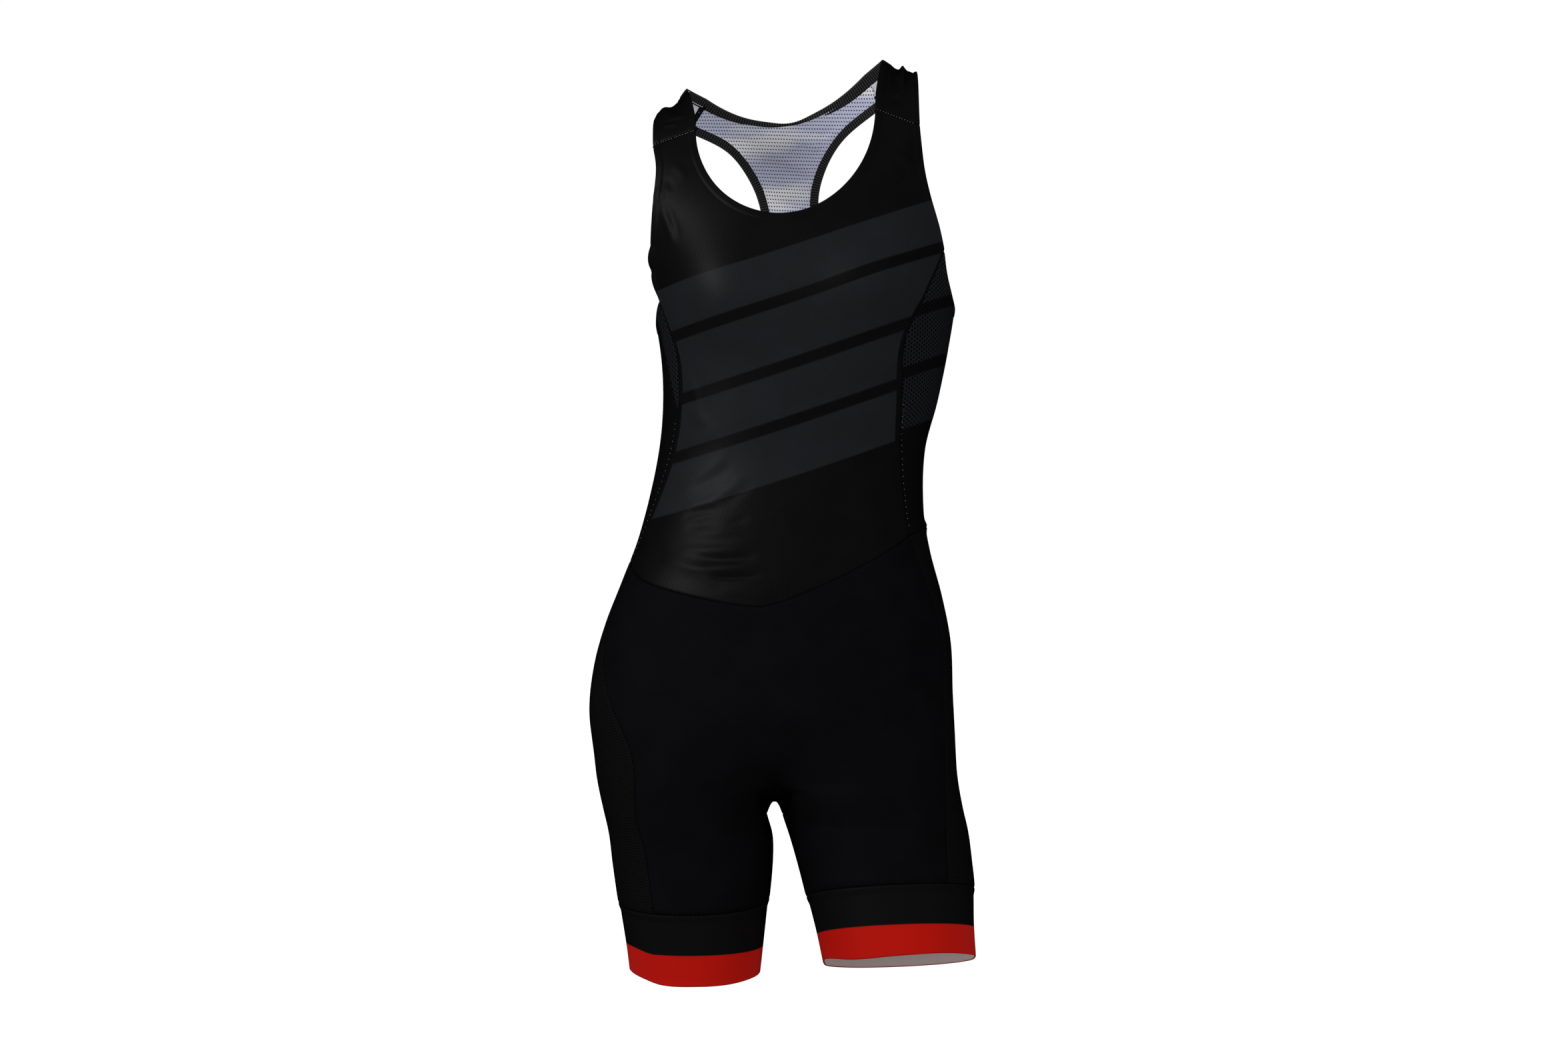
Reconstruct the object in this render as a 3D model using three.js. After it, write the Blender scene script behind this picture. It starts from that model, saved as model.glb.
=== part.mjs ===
// Women's rowing unisuit: racerback bodice, shorts and hem bands, worn form with nothing inside.
// Millimetres. +Z is up, the front faces -Y, +X is the wearer's left.
// The origin lies between the tops of the two shoulder straps, where the wearer carries the suit.
import * as THREE from 'three';
import { mergeVertices } from 'three/addons/utils/BufferGeometryUtils.js';

// ---------------------------------------------------------------- cloth
const KNIT_WALL = 1.2;
const BAND_WALL = 1.6;
const BINDING_WALL = 2.2;
const SEAM_GAP = 0.3;
const RIM_SLANT = 0.2;

// Facets of each piece: steps across and down, shared by the pieces that meet along a seam.
const STEPS = {
  strapAcross: 5,
  strapAlong: 8,
  frontAcross: 18,
  backAcross: 16,
  sideAcross: 4,
  bodiceDown: 10,
  armholeDown: 7,
  flareDown: 7,
  hipDown: 4,
  forkDown: 10,
  legDown: 3,
  bandDown: 2,
  gussetAcross: 4,
  gussetDown: 4,
};

// ---------------------------------------------------------------- tables
// A table holds one row for each level, and is read between its rows along a smooth curve.
function table(columns, rows) {
  return columns.reduce((found, name, k) => ({ ...found, [name]: rows.map((row) => row[k]) }), {});
}

// Cubic through the rows, its slope at each row taken from the rows above and below. Keys fall.
function read(rows, key, name, at) {
  const xs = rows[key];
  const ys = rows[name];
  const last = xs.length - 1;
  const x = Math.min(Math.max(at, xs[last]), xs[0]);
  let i = 0;
  while (i < last - 1 && x < xs[i + 1]) i += 1;
  const slope = (k) => {
    const a = Math.max(k - 1, 0);
    const b = Math.min(k + 1, last);
    return (ys[b] - ys[a]) / (xs[b] - xs[a]);
  };
  const span = xs[i + 1] - xs[i];
  const u = (x - xs[i]) / span;
  return (1 + 2 * u) * (1 - u) ** 2 * ys[i] + u * (1 - u) ** 2 * span * slope(i)
    + u * u * (3 - 2 * u) * ys[i + 1] + u * u * (u - 1) * span * slope(i + 1);
}

// Rings of the torso: centre, half width, depth in front and behind, turn in degrees
// towards the wearer's right, and bank, the rise of a ring towards the wearer's left.
const torsoRings = table(['level', 'x', 'half', 'front', 'back', 'turn', 'bank'], [
  [40, -1, 150, 30, 40, 0, 0.16],
  [0, -1, 156, 42, 52, 0, 0.15],
  [-35, -1, 158, 54, 63, 0, 0.12],
  [-70, 0, 158, 72, 80, 0, 0.10],
  [-115, 3, 152, 90, 94, 1, 0.08],
  [-160, 11, 142, 103, 98, 3, 0.07],
  [-200, 17, 138, 108, 97, 5, 0.07],
  [-250, 17, 131, 101, 91, 6, 0.07],
  [-300, 12, 126, 93, 84, 5, 0.08],
  [-345, 3, 123.5, 87, 80, 5, 0.09],
  [-400, -5, 130, 92, 86, 4, 0.10],
  [-440, -10, 141, 98, 94, 3, 0.10],
  [-480, -12, 154, 102, 106, 2, 0.08],
  [-520, -13, 163, 104, 116, 1, 0.06],
  [-565, -14, 166, 104, 120, 0, 0.04],
  [-620, -10, 165, 100, 114, 0, 0.02],
  [-690, -8, 166, 92, 100, 0, 0],
]);
const TORSO_SQUARENESS = 2.3;
const BUST = { across: 68, spread: 36, level: -190, rise: 46, full: 9 };

// Rings of each leg: pitch is the rise of a ring towards its front, roll its rise outwards.
const LEG_COLUMNS = ['level', 'x', 'y', 'half', 'front', 'back', 'pitch', 'roll'];
const legRings = {
  left: table(LEG_COLUMNS, [
    [-560, 68, 0, 86, 96, 110, 0, 0],
    [-620, 71, 0, 84, 92, 102, 0.02, 0],
    [-661, 78, -2, 83, 86, 92, 0.07, 0.01],
    [-686, 84.5, -5, 81.5, 82, 87, 0.12, 0.02],
    [-710, 89.5, -9, 79.5, 80, 84, 0.17, 0.03],
    [-737, 94.5, -14, 77, 78, 80, 0.21, 0.05],
    [-768, 98.5, -20, 73, 75, 77, 0.22, 0.04],
    [-795, 102, -26, 70.5, 73, 75, 0.22, 0.04],
  ]),
  right: table(LEG_COLUMNS, [
    [-560, -93, 0, 86, 96, 110, 0, 0],
    [-620, -93, 0, 81, 90, 100, 0, 0],
    [-661, -92, 0, 75, 82, 88, 0, 0],
    [-686, -87, 0, 75, 78, 83, -0.02, 0],
    [-710, -85.5, 0, 73.5, 75, 79, -0.05, -0.01],
    [-744, -84.5, 0, 69.5, 71, 74, -0.10, -0.02],
    [-786, -83.7, 0, 64, 65, 68, -0.02, -0.01],
    [-811, -83.7, 0, 61, 62, 66, 0, 0],
  ]),
};
const LEG_SQUARENESS = 2.15;

// Seams that run down the body, in degrees from the flank towards the front (behind is negative).
const seamAngles = table(['level', 'frontLeft', 'frontRight', 'back'], [
  [-165, 22, 24, -30],
  [-200, 30, 24, -30],
  [-245, 38, 30, -30],
  [-300, 34, 28, -29],
  [-345, 27, 24, -28],
  [-385, 24, 18, -26],
  [-425, 22, 12, -24],
  [-465, 18, 9, -21],
  [-510, 14, 15, -18],
  [-560, 15, 23, -16],
  [-620, 17, 34, -16],
  [-690, 18, 42, -16],
]);
const legSeamAngles = table(['level', 'frontLeft', 'frontRight', 'back'], [
  [-560, 29, 42, -24],
  [-620, 35, 52, -22],
  [-660, 41, 56, -20],
  [-700, 48, 59, -22],
  [-745, 52, 61, -24],
]);

// Levels where the shorts change from torso to legs, and where bands and hems lie on each leg.
const HIP_LEVEL = -560;
const THIGH_LEVEL = -680;
const bandLevels = { left: { top: -737, hem: -795 }, right: { top: -744, hem: -811 } };

// ---------------------------------------------------------------- body surface
const radians = (degrees) => (degrees * Math.PI) / 180;
const mix = (a, b, t) => a + (b - a) * t;
const steps = (n) => Array.from({ length: n + 1 }, (_, i) => i / n);
const smoothstep = (t) => t * t * (3 - 2 * t);
const signOf = (side) => (side === 'left' ? 1 : -1);

// Depth of an oval ring at distance p from its middle.
function ringDepth(p, half, depth, squareness) {
  return depth * Math.max(1 - Math.abs(p / half) ** squareness, 0) ** (1 / squareness);
}

// Point of an oval ring in the direction of an angle.
function ovalPoint(angle, half, front, back, squareness) {
  const c = Math.cos(radians(angle));
  const s = Math.sin(radians(angle));
  const depth = s >= 0 ? front : back;
  const radius = ((Math.abs(c) / half) ** squareness + (Math.abs(s) / depth) ** squareness)
    ** (-1 / squareness);
  return [radius * c, radius * s];
}

// Torso point: angle 0 is the left flank, 90 the front, 180 the right flank, -90 the back.
function torso(angle, level) {
  const at = (name) => read(torsoRings, 'level', name, level);
  let [p, q] = ovalPoint(angle, at('half'), at('front'), at('back'), TORSO_SQUARENESS);
  if (q > 0) {
    const swell = (centre) => Math.exp(-(((p - centre) / BUST.spread) ** 2));
    const height = Math.exp(-(((level - BUST.level) / BUST.rise) ** 2));
    q += BUST.full * (swell(BUST.across) + swell(-BUST.across)) * height * Math.min(q / 60, 1);
  }
  const turn = radians(at('turn'));
  return new THREE.Vector3(
    at('x') + p * Math.cos(turn) - q * Math.sin(turn),
    -p * Math.sin(turn) - q * Math.cos(turn),
    level + at('bank') * p,
  );
}

// Angle of the torso point at distance p to the left of the middle, in front or behind.
function angleAt(p, level, facing) {
  const half = read(torsoRings, 'level', 'half', level);
  const depth = read(torsoRings, 'level', facing, level);
  const q = ringDepth(p, half, depth, TORSO_SQUARENESS);
  const angle = (Math.atan2(facing === 'front' ? q : -q, p) * 180) / Math.PI;
  return facing === 'back' && angle > 0 ? angle - 360 : angle;
}
const torsoAt = (p, level, facing) => torso(angleAt(p, level, facing), level);

// Distance to the left of the middle of the torso point at an angle.
function acrossAt(angle, level) {
  const at = (name) => read(torsoRings, 'level', name, level);
  return ovalPoint(angle, at('half'), at('front'), at('back'), TORSO_SQUARENESS)[0];
}

// Leg point: angle 0 is the outer side, 90 the front, 180 the inner side, -90 the back.
function leg(side, angle, level) {
  const at = (name) => read(legRings[side], 'level', name, level);
  const [p, q] = ovalPoint(angle, at('half'), at('front'), at('back'), LEG_SQUARENESS);
  return new THREE.Vector3(
    at('x') + signOf(side) * p,
    at('y') - q,
    level + at('pitch') * q + at('roll') * p,
  );
}

// ---------------------------------------------------------------- walls
// Net of quads from rows of points, wound so that its face looks along rows x columns.
function net(points, flipped = false) {
  const quads = [];
  for (let r = 0; r + 1 < points.length; r += 1) {
    for (let c = 0; c + 1 < points[r].length; c += 1) {
      const quad = [points[r][c], points[r][c + 1], points[r + 1][c + 1], points[r + 1][c]];
      quads.push(flipped ? quad.reverse() : quad);
    }
  }
  return quads;
}

// Merged triangles of the nets that make up one piece.
function joinNets(nets) {
  const positions = nets.flat().flatMap(([a, b, c, d]) => [a, b, c, a, c, d])
    .flatMap((p) => [p.x, p.y, p.z]);
  const geometry = new THREE.BufferGeometry();
  geometry.setAttribute('position', new THREE.Float32BufferAttribute(positions, 3));
  return mergeVertices(geometry, 0.01);
}

// Edges of a net that only one triangle uses, as a map from each start to its end.
function openEdges(index) {
  const edges = new Map();
  for (let i = 0; i < index.length; i += 3) {
    for (let k = 0; k < 3; k += 1) {
      const a = index[i + k];
      const b = index[i + ((k + 1) % 3)];
      if (!edges.delete(`${b},${a}`)) edges.set(`${a},${b}`, [a, b]);
    }
  }
  return [...edges.values()];
}

// Closed wall of one cut piece: outer face from the nets, inner face a wall's thickness in,
// and a rim round every edge, drawn back by half the gap that a seam leaves.
function wall(nets, thickness, lift = 0) {
  const face = joinNets(nets);
  const index = [...face.index.array].filter((_, i, all) => {
    const t = i - (i % 3);
    return new Set([all[t], all[t + 1], all[t + 2]]).size === 3;
  });
  face.setIndex(index);
  face.computeVertexNormals();
  const point = (k) => new THREE.Vector3().fromBufferAttribute(face.attributes.position, k);
  const normal = (k) => new THREE.Vector3().fromBufferAttribute(face.attributes.normal, k);
  const rim = openEdges(index);
  const inward = new Map();
  rim.forEach(([a, b]) => {
    [a, b].forEach((k) => {
      const side = normal(k).cross(point(b).sub(point(a))).normalize();
      inward.set(k, [...(inward.get(k) ?? []), side]);
    });
  });
  const count = face.attributes.position.count;
  const drawnBack = (k, distance) => {
    const sides = inward.get(k);
    if (!sides) return point(k);
    const sum = sides.reduce((total, side) => total.add(side), new THREE.Vector3());
    return point(k).addScaledVector(sum, (2 * distance) / Math.max(sum.lengthSq(), 1));
  };
  const layer = (lifted, distance) => Array.from({ length: count },
    (_, k) => drawnBack(k, distance).addScaledVector(normal(k), lifted));
  const all = [...layer(lift, SEAM_GAP / 2), ...layer(lift - thickness, SEAM_GAP / 2 + RIM_SLANT)];
  const triangles = [...index];
  for (let i = 0; i < index.length; i += 3) {
    triangles.push(index[i] + count, index[i + 2] + count, index[i + 1] + count);
  }
  rim.forEach(([a, b]) => triangles.push(a, a + count, b + count, a, b + count, b));
  const solid = new THREE.BufferGeometry();
  const flat = all.flatMap((p) => [p.x, p.y, p.z]);
  solid.setAttribute('position', new THREE.Float32BufferAttribute(flat, 3));
  solid.setIndex(triangles);
  solid.computeVertexNormals();
  return solid;
}

// ---------------------------------------------------------------- seams of the bodice
const seamAngle = (name, level) => read(seamAngles, 'level', name, level);
const frontSeam = (side, level) => seamAngle(side === 'left' ? 'frontLeft' : 'frontRight', level);
const backSeam = (level) => seamAngle('back', level);

// Angle at share c of the way across the front, or across the back, from left seam to right seam.
const frontAngle = (c, level) => mix(frontSeam('left', level), 180 - frontSeam('right', level), c);
const backAngle = (c, level) => mix(backSeam(level), -180 - backSeam(level), c);

// A point of one side by its angle from that flank, so that both sides share their formulas.
function torsoSide(side, angle, level) {
  const turned = angle >= 0 ? 180 - angle : -180 - angle;
  return torso(side === 'left' ? angle : turned, level);
}

// The waist seam dips to a point in front and is nearly level behind.
const FRONT_WAIST = { centre: -474, sides: -424, bend: 1.4 };
const BACK_WAIST = { centre: -402, sides: -412 };
const frontWaist = (fromCentre) => mix(FRONT_WAIST.centre, FRONT_WAIST.sides,
  fromCentre ** FRONT_WAIST.bend);
const backWaist = (fromCentre) => mix(BACK_WAIST.centre, BACK_WAIST.sides, fromCentre ** 2);
const sideWaist = (c) => mix(FRONT_WAIST.sides, BACK_WAIST.sides, c);
const fromCentre = (c) => Math.abs(2 * c - 1);

// ---------------------------------------------------------------- front bodice
// A band runs from the neckline out to the armholes and the chest line; a block hangs below it.
const STRAP_SEAM = {
  front: { inner: [80.5, -38], outer: [120, -46] },
  back: { inner: [73, 5], outer: [92, -24] },
};
const NECKLINE = { half: STRAP_SEAM.front.inner[0], top: STRAP_SEAM.front.inner[1], drop: 88, lean: -3 };
const frontArmhole = table(['share', 'left', 'right', 'level'], [
  [1, STRAP_SEAM.front.outer[0], STRAP_SEAM.front.outer[0], STRAP_SEAM.front.outer[1]],
  [0.8, 121, 116.5, -70],
  [0.6, 123, 118, -94],
  [0.4, 127, 122, -118],
  [0.2, 131, 127.5, -142],
  [0, 133, 131, -165],
]);
const CHEST = { level: -165, sag: 14, share: 0.3 };
const chestLevel = (c) => CHEST.level - CHEST.sag * Math.sin(Math.PI * c);

function necklinePoint(s) {
  const { half, top, drop, lean } = NECKLINE;
  const low = Math.sin(Math.PI * s);
  return [half * Math.cos(Math.PI * s) + lean * low, top - drop * low];
}

// Outer edge of the band: down one armhole, along the chest line and up the other armhole.
function frontBandEdge(s) {
  if (s >= CHEST.share && s <= 1 - CHEST.share) {
    const c = (s - CHEST.share) / (1 - 2 * CHEST.share);
    return [frontAngle(c, chestLevel(c)), chestLevel(c)];
  }
  const share = 1 - Math.min(s, 1 - s) / CHEST.share;
  const side = s < 0.5 ? 'left' : 'right';
  const p = signOf(side) * read(frontArmhole, 'share', side, share);
  const level = read(frontArmhole, 'share', 'level', share);
  return [angleAt(p, level, 'front'), level];
}

// Steps along a band whose ends run down the armholes and whose middle joins the block below.
function bandSteps(across, share) {
  return [
    ...steps(STEPS.armholeDown).map((t) => t * share),
    ...steps(across).slice(1).map((t) => mix(share, 1 - share, t)),
    ...steps(STEPS.armholeDown).slice(1).map((t) => mix(1 - share, 1, t)),
  ];
}

function frontBodice() {
  const band = steps(STEPS.strapAcross).map((r) => bandSteps(STEPS.frontAcross, CHEST.share)
    .map((s) => {
      const [p, top] = necklinePoint(s);
      const [angle, level] = frontBandEdge(s);
      return torso(mix(angleAt(p, top, 'front'), angle, r), mix(top, level, r));
    }));
  const block = steps(STEPS.bodiceDown).map((v) => steps(STEPS.frontAcross).map((c) => {
    const level = mix(chestLevel(c), frontWaist(fromCentre(c)), v);
    return torso(frontAngle(c, level), level);
  }));
  return wall([net(band), net(block)], KNIT_WALL);
}

// ---------------------------------------------------------------- side panels
// Mesh panels under the arms. Their top edge is the underarm, by share of the way to the back seam.
const underarm = table(['share', 'level'], [
  [1, -212],
  [0.7, -216],
  [0.42, -210],
  [0.22, -194],
  [0, CHEST.level],
]);

function sidePanel(side) {
  const points = steps(STEPS.bodiceDown).map((v) => steps(STEPS.sideAcross).map((c) => {
    const level = mix(read(underarm, 'share', 'level', c), sideWaist(c), v);
    return torsoSide(side, mix(frontSeam(side, level), backSeam(level), c), level);
  }));
  return wall([net(points, side === 'left')], KNIT_WALL);
}

// ---------------------------------------------------------------- back bodice
// Racerback: a yoke band between the neck edge and the armholes, a narrow waist between the
// shoulder blades, and a block that flares from it to the side seams. p and level lie on the
// panel's edge; rimP and rimLevel on the outer edge of the binding that finishes it.
const YOKE_SHARE = 0.48;
const BACK_SEAM_TOP = -218;
const backArmhole = table(['share', 'p', 'level', 'rimP', 'rimLevel'], [
  [1, 88.4, -18.5, 92, -24],
  [0.82, 51, -42, 54.3, -47.5],
  [0.66, 29, -73, 34.8, -76],
  [YOKE_SHARE, 20.5, -108, 27, -108],
  [0.34, 25, -144, 31, -141],
  [0.2, 47, -178, 51, -172.5],
  [0.08, 84, -206, 86, -199.8],
  [0, 110, BACK_SEAM_TOP, 110.4, -212],
]);
const BACK_NECK = {
  panel: { half: 76.6, top: -0.5, bottom: -35 },
  rim: { half: 73, top: 5, bottom: -28.5 },
  bend: 1.6,
  share: 0.37,
};

// Distance from the middle and level of the back neck edge at step s of the yoke band. The steps
// over the yoke's narrow waist lie closer together than those over the armholes.
function backNeckPoint(s, edge) {
  const { half, top, bottom } = BACK_NECK[edge];
  const fromEnd = Math.min(s, 1 - s);
  const along = fromEnd < CHEST.share ? (fromEnd / CHEST.share) * BACK_NECK.share
    : mix(BACK_NECK.share, 0.5, (fromEnd - CHEST.share) / (0.5 - CHEST.share));
  const p = half * (1 - 2 * along) * (s < 0.5 ? 1 : -1);
  return [p, mix(bottom, top, fromCentre(along) ** BACK_NECK.bend)];
}

// Angle and level of the back armhole's edge on the left, from the strap (1) to the side seam (0).
function backArmholeEdge(share, edge) {
  const level = read(backArmhole, 'share', edge === 'rim' ? 'rimLevel' : 'level', share);
  if (share === 0) return [backSeam(level), level];
  const p = read(backArmhole, 'share', edge === 'rim' ? 'rimP' : 'p', share);
  return [angleAt(p, level, 'back'), level];
}

function backBandEdge(s) {
  if (s > CHEST.share && s < 1 - CHEST.share) {
    const [angle, level] = backArmholeEdge(YOKE_SHARE, 'panel');
    const c = (s - CHEST.share) / (1 - 2 * CHEST.share);
    return [mix(angle, -180 - angle, c), level];
  }
  const share = mix(1, YOKE_SHARE, Math.min(s, 1 - s) / CHEST.share);
  const [angle, level] = backArmholeEdge(share, 'panel');
  return [s < 0.5 ? angle : -180 - angle, level];
}

function backBodice() {
  const band = steps(STEPS.strapAcross).map((r) => bandSteps(STEPS.backAcross, CHEST.share)
    .map((s) => {
      const [p, top] = backNeckPoint(s, 'panel');
      const [angle, level] = backBandEdge(s);
      return torsoAt(mix(p, acrossAt(angle, level), r), mix(top, level, r), 'back');
    }));
  const flare = steps(STEPS.flareDown).map((v) => {
    const [angle, level] = backArmholeEdge(YOKE_SHARE * (1 - v), 'panel');
    return steps(STEPS.backAcross).map((c) => torso(mix(angle, -180 - angle, c), level));
  });
  const block = steps(STEPS.bodiceDown).map((v) => steps(STEPS.backAcross).map((c) => {
    const level = mix(BACK_SEAM_TOP, backWaist(fromCentre(c)), v);
    return torso(backAngle(c, level), level);
  }));
  return wall([net(band, true), net(flare, true), net(block, true)], KNIT_WALL);
}

// ---------------------------------------------------------------- shoulder straps
// Each strap is carried over the shoulder from the front seam to the back seam: every fibre is a
// cubic that leaves both seams along the body's surface. Past the top of the shoulder its inner
// edge steps in by the width of the neck binding.
const STRAP_RISE = {
  left: { inner: [44, 40], outer: [58, 46] },
  right: { inner: [42, 38], outer: [40, 36] },
};
const STRAP_LEAN = { outward: 8, up: 5 };
const STRAP_TOP = { before: 0.49, after: 0.5 };
const BINDING_SHARE = 0.19;

function strapPoint(side, w, t) {
  const sign = signOf(side);
  const at = (seam, k) => mix(STRAP_SEAM[seam].inner[k], STRAP_SEAM[seam].outer[k], w);
  const start = torsoAt(sign * at('front', 0), at('front', 1), 'front');
  const end = torsoAt(sign * at('back', 0), at('back', 1), 'back');
  const ahead = torsoAt(sign * at('front', 0), at('front', 1) + STRAP_LEAN.up, 'front');
  const behind = torsoAt(sign * (at('back', 0) + STRAP_LEAN.outward),
    at('back', 1) + STRAP_LEAN.up, 'back');
  const [before, after] = [0, 1].map((k) => mix(STRAP_RISE[side].inner[k], STRAP_RISE[side].outer[k], w));
  const rise = ahead.sub(start).setLength(before).add(start);
  const fall = behind.sub(end).setLength(after).add(end);
  return new THREE.CubicBezierCurve3(start, rise, fall, end).getPoint(t);
}

const strapSteps = [...steps(STEPS.strapAlong / 2).slice(0, -1).map((t) => t / 2),
  STRAP_TOP.before, ...steps(STEPS.strapAlong / 2).map((t) => mix(STRAP_TOP.after, 1, t))];

function shoulderStrap(side) {
  const points = strapSteps.map((t) => steps(STEPS.strapAcross).map((w) => {
    const inner = t < STRAP_TOP.after ? 0 : BINDING_SHARE;
    return strapPoint(side, mix(inner, 1, w), t);
  }));
  return wall([net(points, side === 'right')], KNIT_WALL);
}

// ---------------------------------------------------------------- bindings
// Elastic folded over the cut edge of the mesh: a thicker strip beyond the panel's edge.
function backNeckBinding() {
  const overStrap = (side) => strapSteps.filter((t) => t >= STRAP_TOP.after)
    .map((t) => [0, 1].map((k) => strapPoint(side, mix(0, BINDING_SHARE, k), t)));
  const behind = bandSteps(STEPS.backAcross, CHEST.share).map((s) => ['rim', 'panel'].map((edge) => {
    const [p, level] = backNeckPoint(s, edge);
    return torsoAt(p, level, 'back');
  }));
  const path = [...overStrap('left').slice(0, -1), ...behind, ...overStrap('right').reverse().slice(1)];
  return wall([net(path)], BINDING_WALL, (BINDING_WALL - KNIT_WALL) / 2);
}

function armholeBinding(side) {
  const shares = [...steps(STEPS.armholeDown).map((v) => mix(1, YOKE_SHARE, v)),
    ...steps(STEPS.flareDown).slice(1).map((v) => YOKE_SHARE * (1 - v))];
  const path = shares.map((share) => ['panel', 'rim'].map((edge) => {
    const [angle, level] = backArmholeEdge(share, edge);
    return torsoSide(side, angle, level);
  }));
  return wall([net(path, side === 'right')], BINDING_WALL, (BINDING_WALL - KNIT_WALL) / 2);
}

// ---------------------------------------------------------------- shorts
// Rows run from the waist seam (0) past the hips (1) and the fork (2) to the hem band (3). Above
// the hips they follow the torso, below the fork the leg, and between them they pass smoothly
// from one to the other. The inner edge follows the crotch path.
const CROTCH = { x: -11, y: 0, level: -655, drop: 12 };
const GUSSET = { from: 60, endHalf: 14.5, midHalf: 7 };
const INNER_EDGE = { frontEnd: 0.6, corner: 0.7 };

const legSeam = (side, facing, level) => {
  const front = side === 'left' ? 'frontLeft' : 'frontRight';
  return read(legSeamAngles, 'level', facing === 'front' ? front : 'back', level);
};
const torsoSeam = (side, facing, level) => (facing === 'front' ? frontSeam(side, level)
  : backSeam(level));
function middleAngle(side, facing, level) {
  if (facing === 'back') return -90;
  return 90 + (signOf(side) * (frontSeam('left', level) - frontSeam('right', level))) / 2;
}

// Edge of the shorts from the hips, down the middle, round the gusset and under to the fork.
function crotchPath(side, facing, k) {
  const { frontEnd, corner } = INNER_EDGE;
  const spread = Math.min(Math.max((k - frontEnd) / (corner - frontEnd), 0), 1);
  const under = Math.max((k - corner) / (1 - corner), 0);
  const turn = radians(k < frontEnd ? (k / frontEnd) * GUSSET.from : mix(GUSSET.from, 90, under));
  const hip = torsoSide(side, middleAngle(side, facing, HIP_LEVEL), HIP_LEVEL);
  const half = mix(GUSSET.endHalf, GUSSET.midHalf, under ** 2);
  return new THREE.Vector3(
    mix(hip.x, CROTCH.x, Math.sin(turn)) + signOf(side) * spread * half,
    mix(CROTCH.y, hip.y, Math.cos(turn)),
    mix(hip.z, CROTCH.level, Math.sin(turn)) - CROTCH.drop * under ** 2,
  );
}

function innerEdge(side, facing, h) {
  if (h <= 2) return crotchPath(side, facing, h - 1);
  const top = crotchPath(side, facing, 1);
  const start = leg(side, 180, CROTCH.level - CROTCH.drop);
  const along = leg(side, 180, mix(CROTCH.level - CROTCH.drop, bandLevels[side].top, h - 2));
  return along.addScaledVector(top.sub(start), (3 - h) ** 3);
}

const levelBelowHip = (side, h) => (h <= 2 ? mix(HIP_LEVEL, THIGH_LEVEL, h - 1)
  : mix(THIGH_LEVEL, bandLevels[side].top, h - 2));

// Point between torso and leg, by its angle on each.
function blended(side, h, level, torsoAngle, legAngle) {
  const share = smoothstep(Math.min(Math.max(h - 1, 0), 1));
  const high = share < 1 ? torsoSide(side, torsoAngle(level), level) : new THREE.Vector3();
  const low = share > 0 ? leg(side, legAngle(level), level) : new THREE.Vector3();
  return high.multiplyScalar(1 - share).addScaledVector(low, share);
}

function shortsPoint(side, facing, c, h) {
  const waist = facing === 'front' ? frontWaist(c) : backWaist(c);
  const level = h <= 1 ? mix(waist, HIP_LEVEL, h) : levelBelowHip(side, h);
  const inseam = facing === 'front' ? 180 : -180;
  const base = (share) => blended(side, h, level,
    (z) => mix(middleAngle(side, facing, z), torsoSeam(side, facing, z), share),
    (z) => mix(inseam, legSeam(side, facing, z), share));
  if (h <= 1) return base(c);
  return base(c).addScaledVector(innerEdge(side, facing, h).sub(base(0)), (1 - c) ** 3);
}

const shortsRows = [...steps(STEPS.hipDown),
  ...steps(STEPS.forkDown).slice(1).map((t) => 1 + t),
  ...steps(STEPS.legDown).slice(1).map((t) => 2 + t)];

function shortsPanel(facing) {
  const across = (facing === 'front' ? STEPS.frontAcross : STEPS.backAcross) / 2;
  return wall(['left', 'right'].map((side) => net(
    shortsRows.map((h) => steps(across).map((c) => shortsPoint(side, facing, c, h))),
    (side === 'left') === (facing === 'front'),
  )), KNIT_WALL);
}

function legSidePanel(side) {
  const points = shortsRows.map((h) => steps(STEPS.sideAcross).map((c) => {
    const level = h <= 1 ? mix(sideWaist(c), HIP_LEVEL, h) : levelBelowHip(side, h);
    return blended(side, h, level,
      (z) => mix(frontSeam(side, z), backSeam(z), c),
      (z) => mix(legSeam(side, 'front', z), legSeam(side, 'back', z), c));
  }));
  return wall([net(points, side === 'left')], KNIT_WALL);
}

// Saddle between the legs: level across at its two ends, arched over the fork in the middle.
function crotchGusset() {
  const under = steps(STEPS.gussetDown).map((u) => mix(INNER_EDGE.corner, 1, u));
  const rows = [...under.map((k) => ['front', k]), ...under.slice(0, -1).reverse()
    .map((k) => ['back', k])];
  const points = rows.map(([facing, k]) => steps(STEPS.gussetAcross).map((v) => {
    const right = crotchPath('right', facing, k);
    const arch = CROTCH.drop * ((k - INNER_EDGE.corner) / (1 - INNER_EDGE.corner)) ** 2;
    const point = right.lerp(crotchPath('left', facing, k), v);
    point.z += arch * 4 * v * (1 - v);
    return point;
  }));
  return wall([net(points, true)], KNIT_WALL);
}

// ---------------------------------------------------------------- hem bands
// A closed tube round each thigh, drawn in slightly below the seam that holds it.
const BAND_STEP = { in: 1.4, by: 8 };

// Angles round a leg where the columns of the front, side and back panels end.
function panelAngles(side) {
  const { top } = bandLevels[side];
  const front = legSeam(side, 'front', top);
  const back = legSeam(side, 'back', top);
  return [
    ...steps(STEPS.frontAcross / 2).slice(1).map((c) => mix(180, front, c)),
    ...steps(STEPS.sideAcross).slice(1).map((c) => mix(front, back, c)),
    ...steps(STEPS.backAcross / 2).slice(1).map((c) => mix(back, -180, c)),
  ];
}

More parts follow.
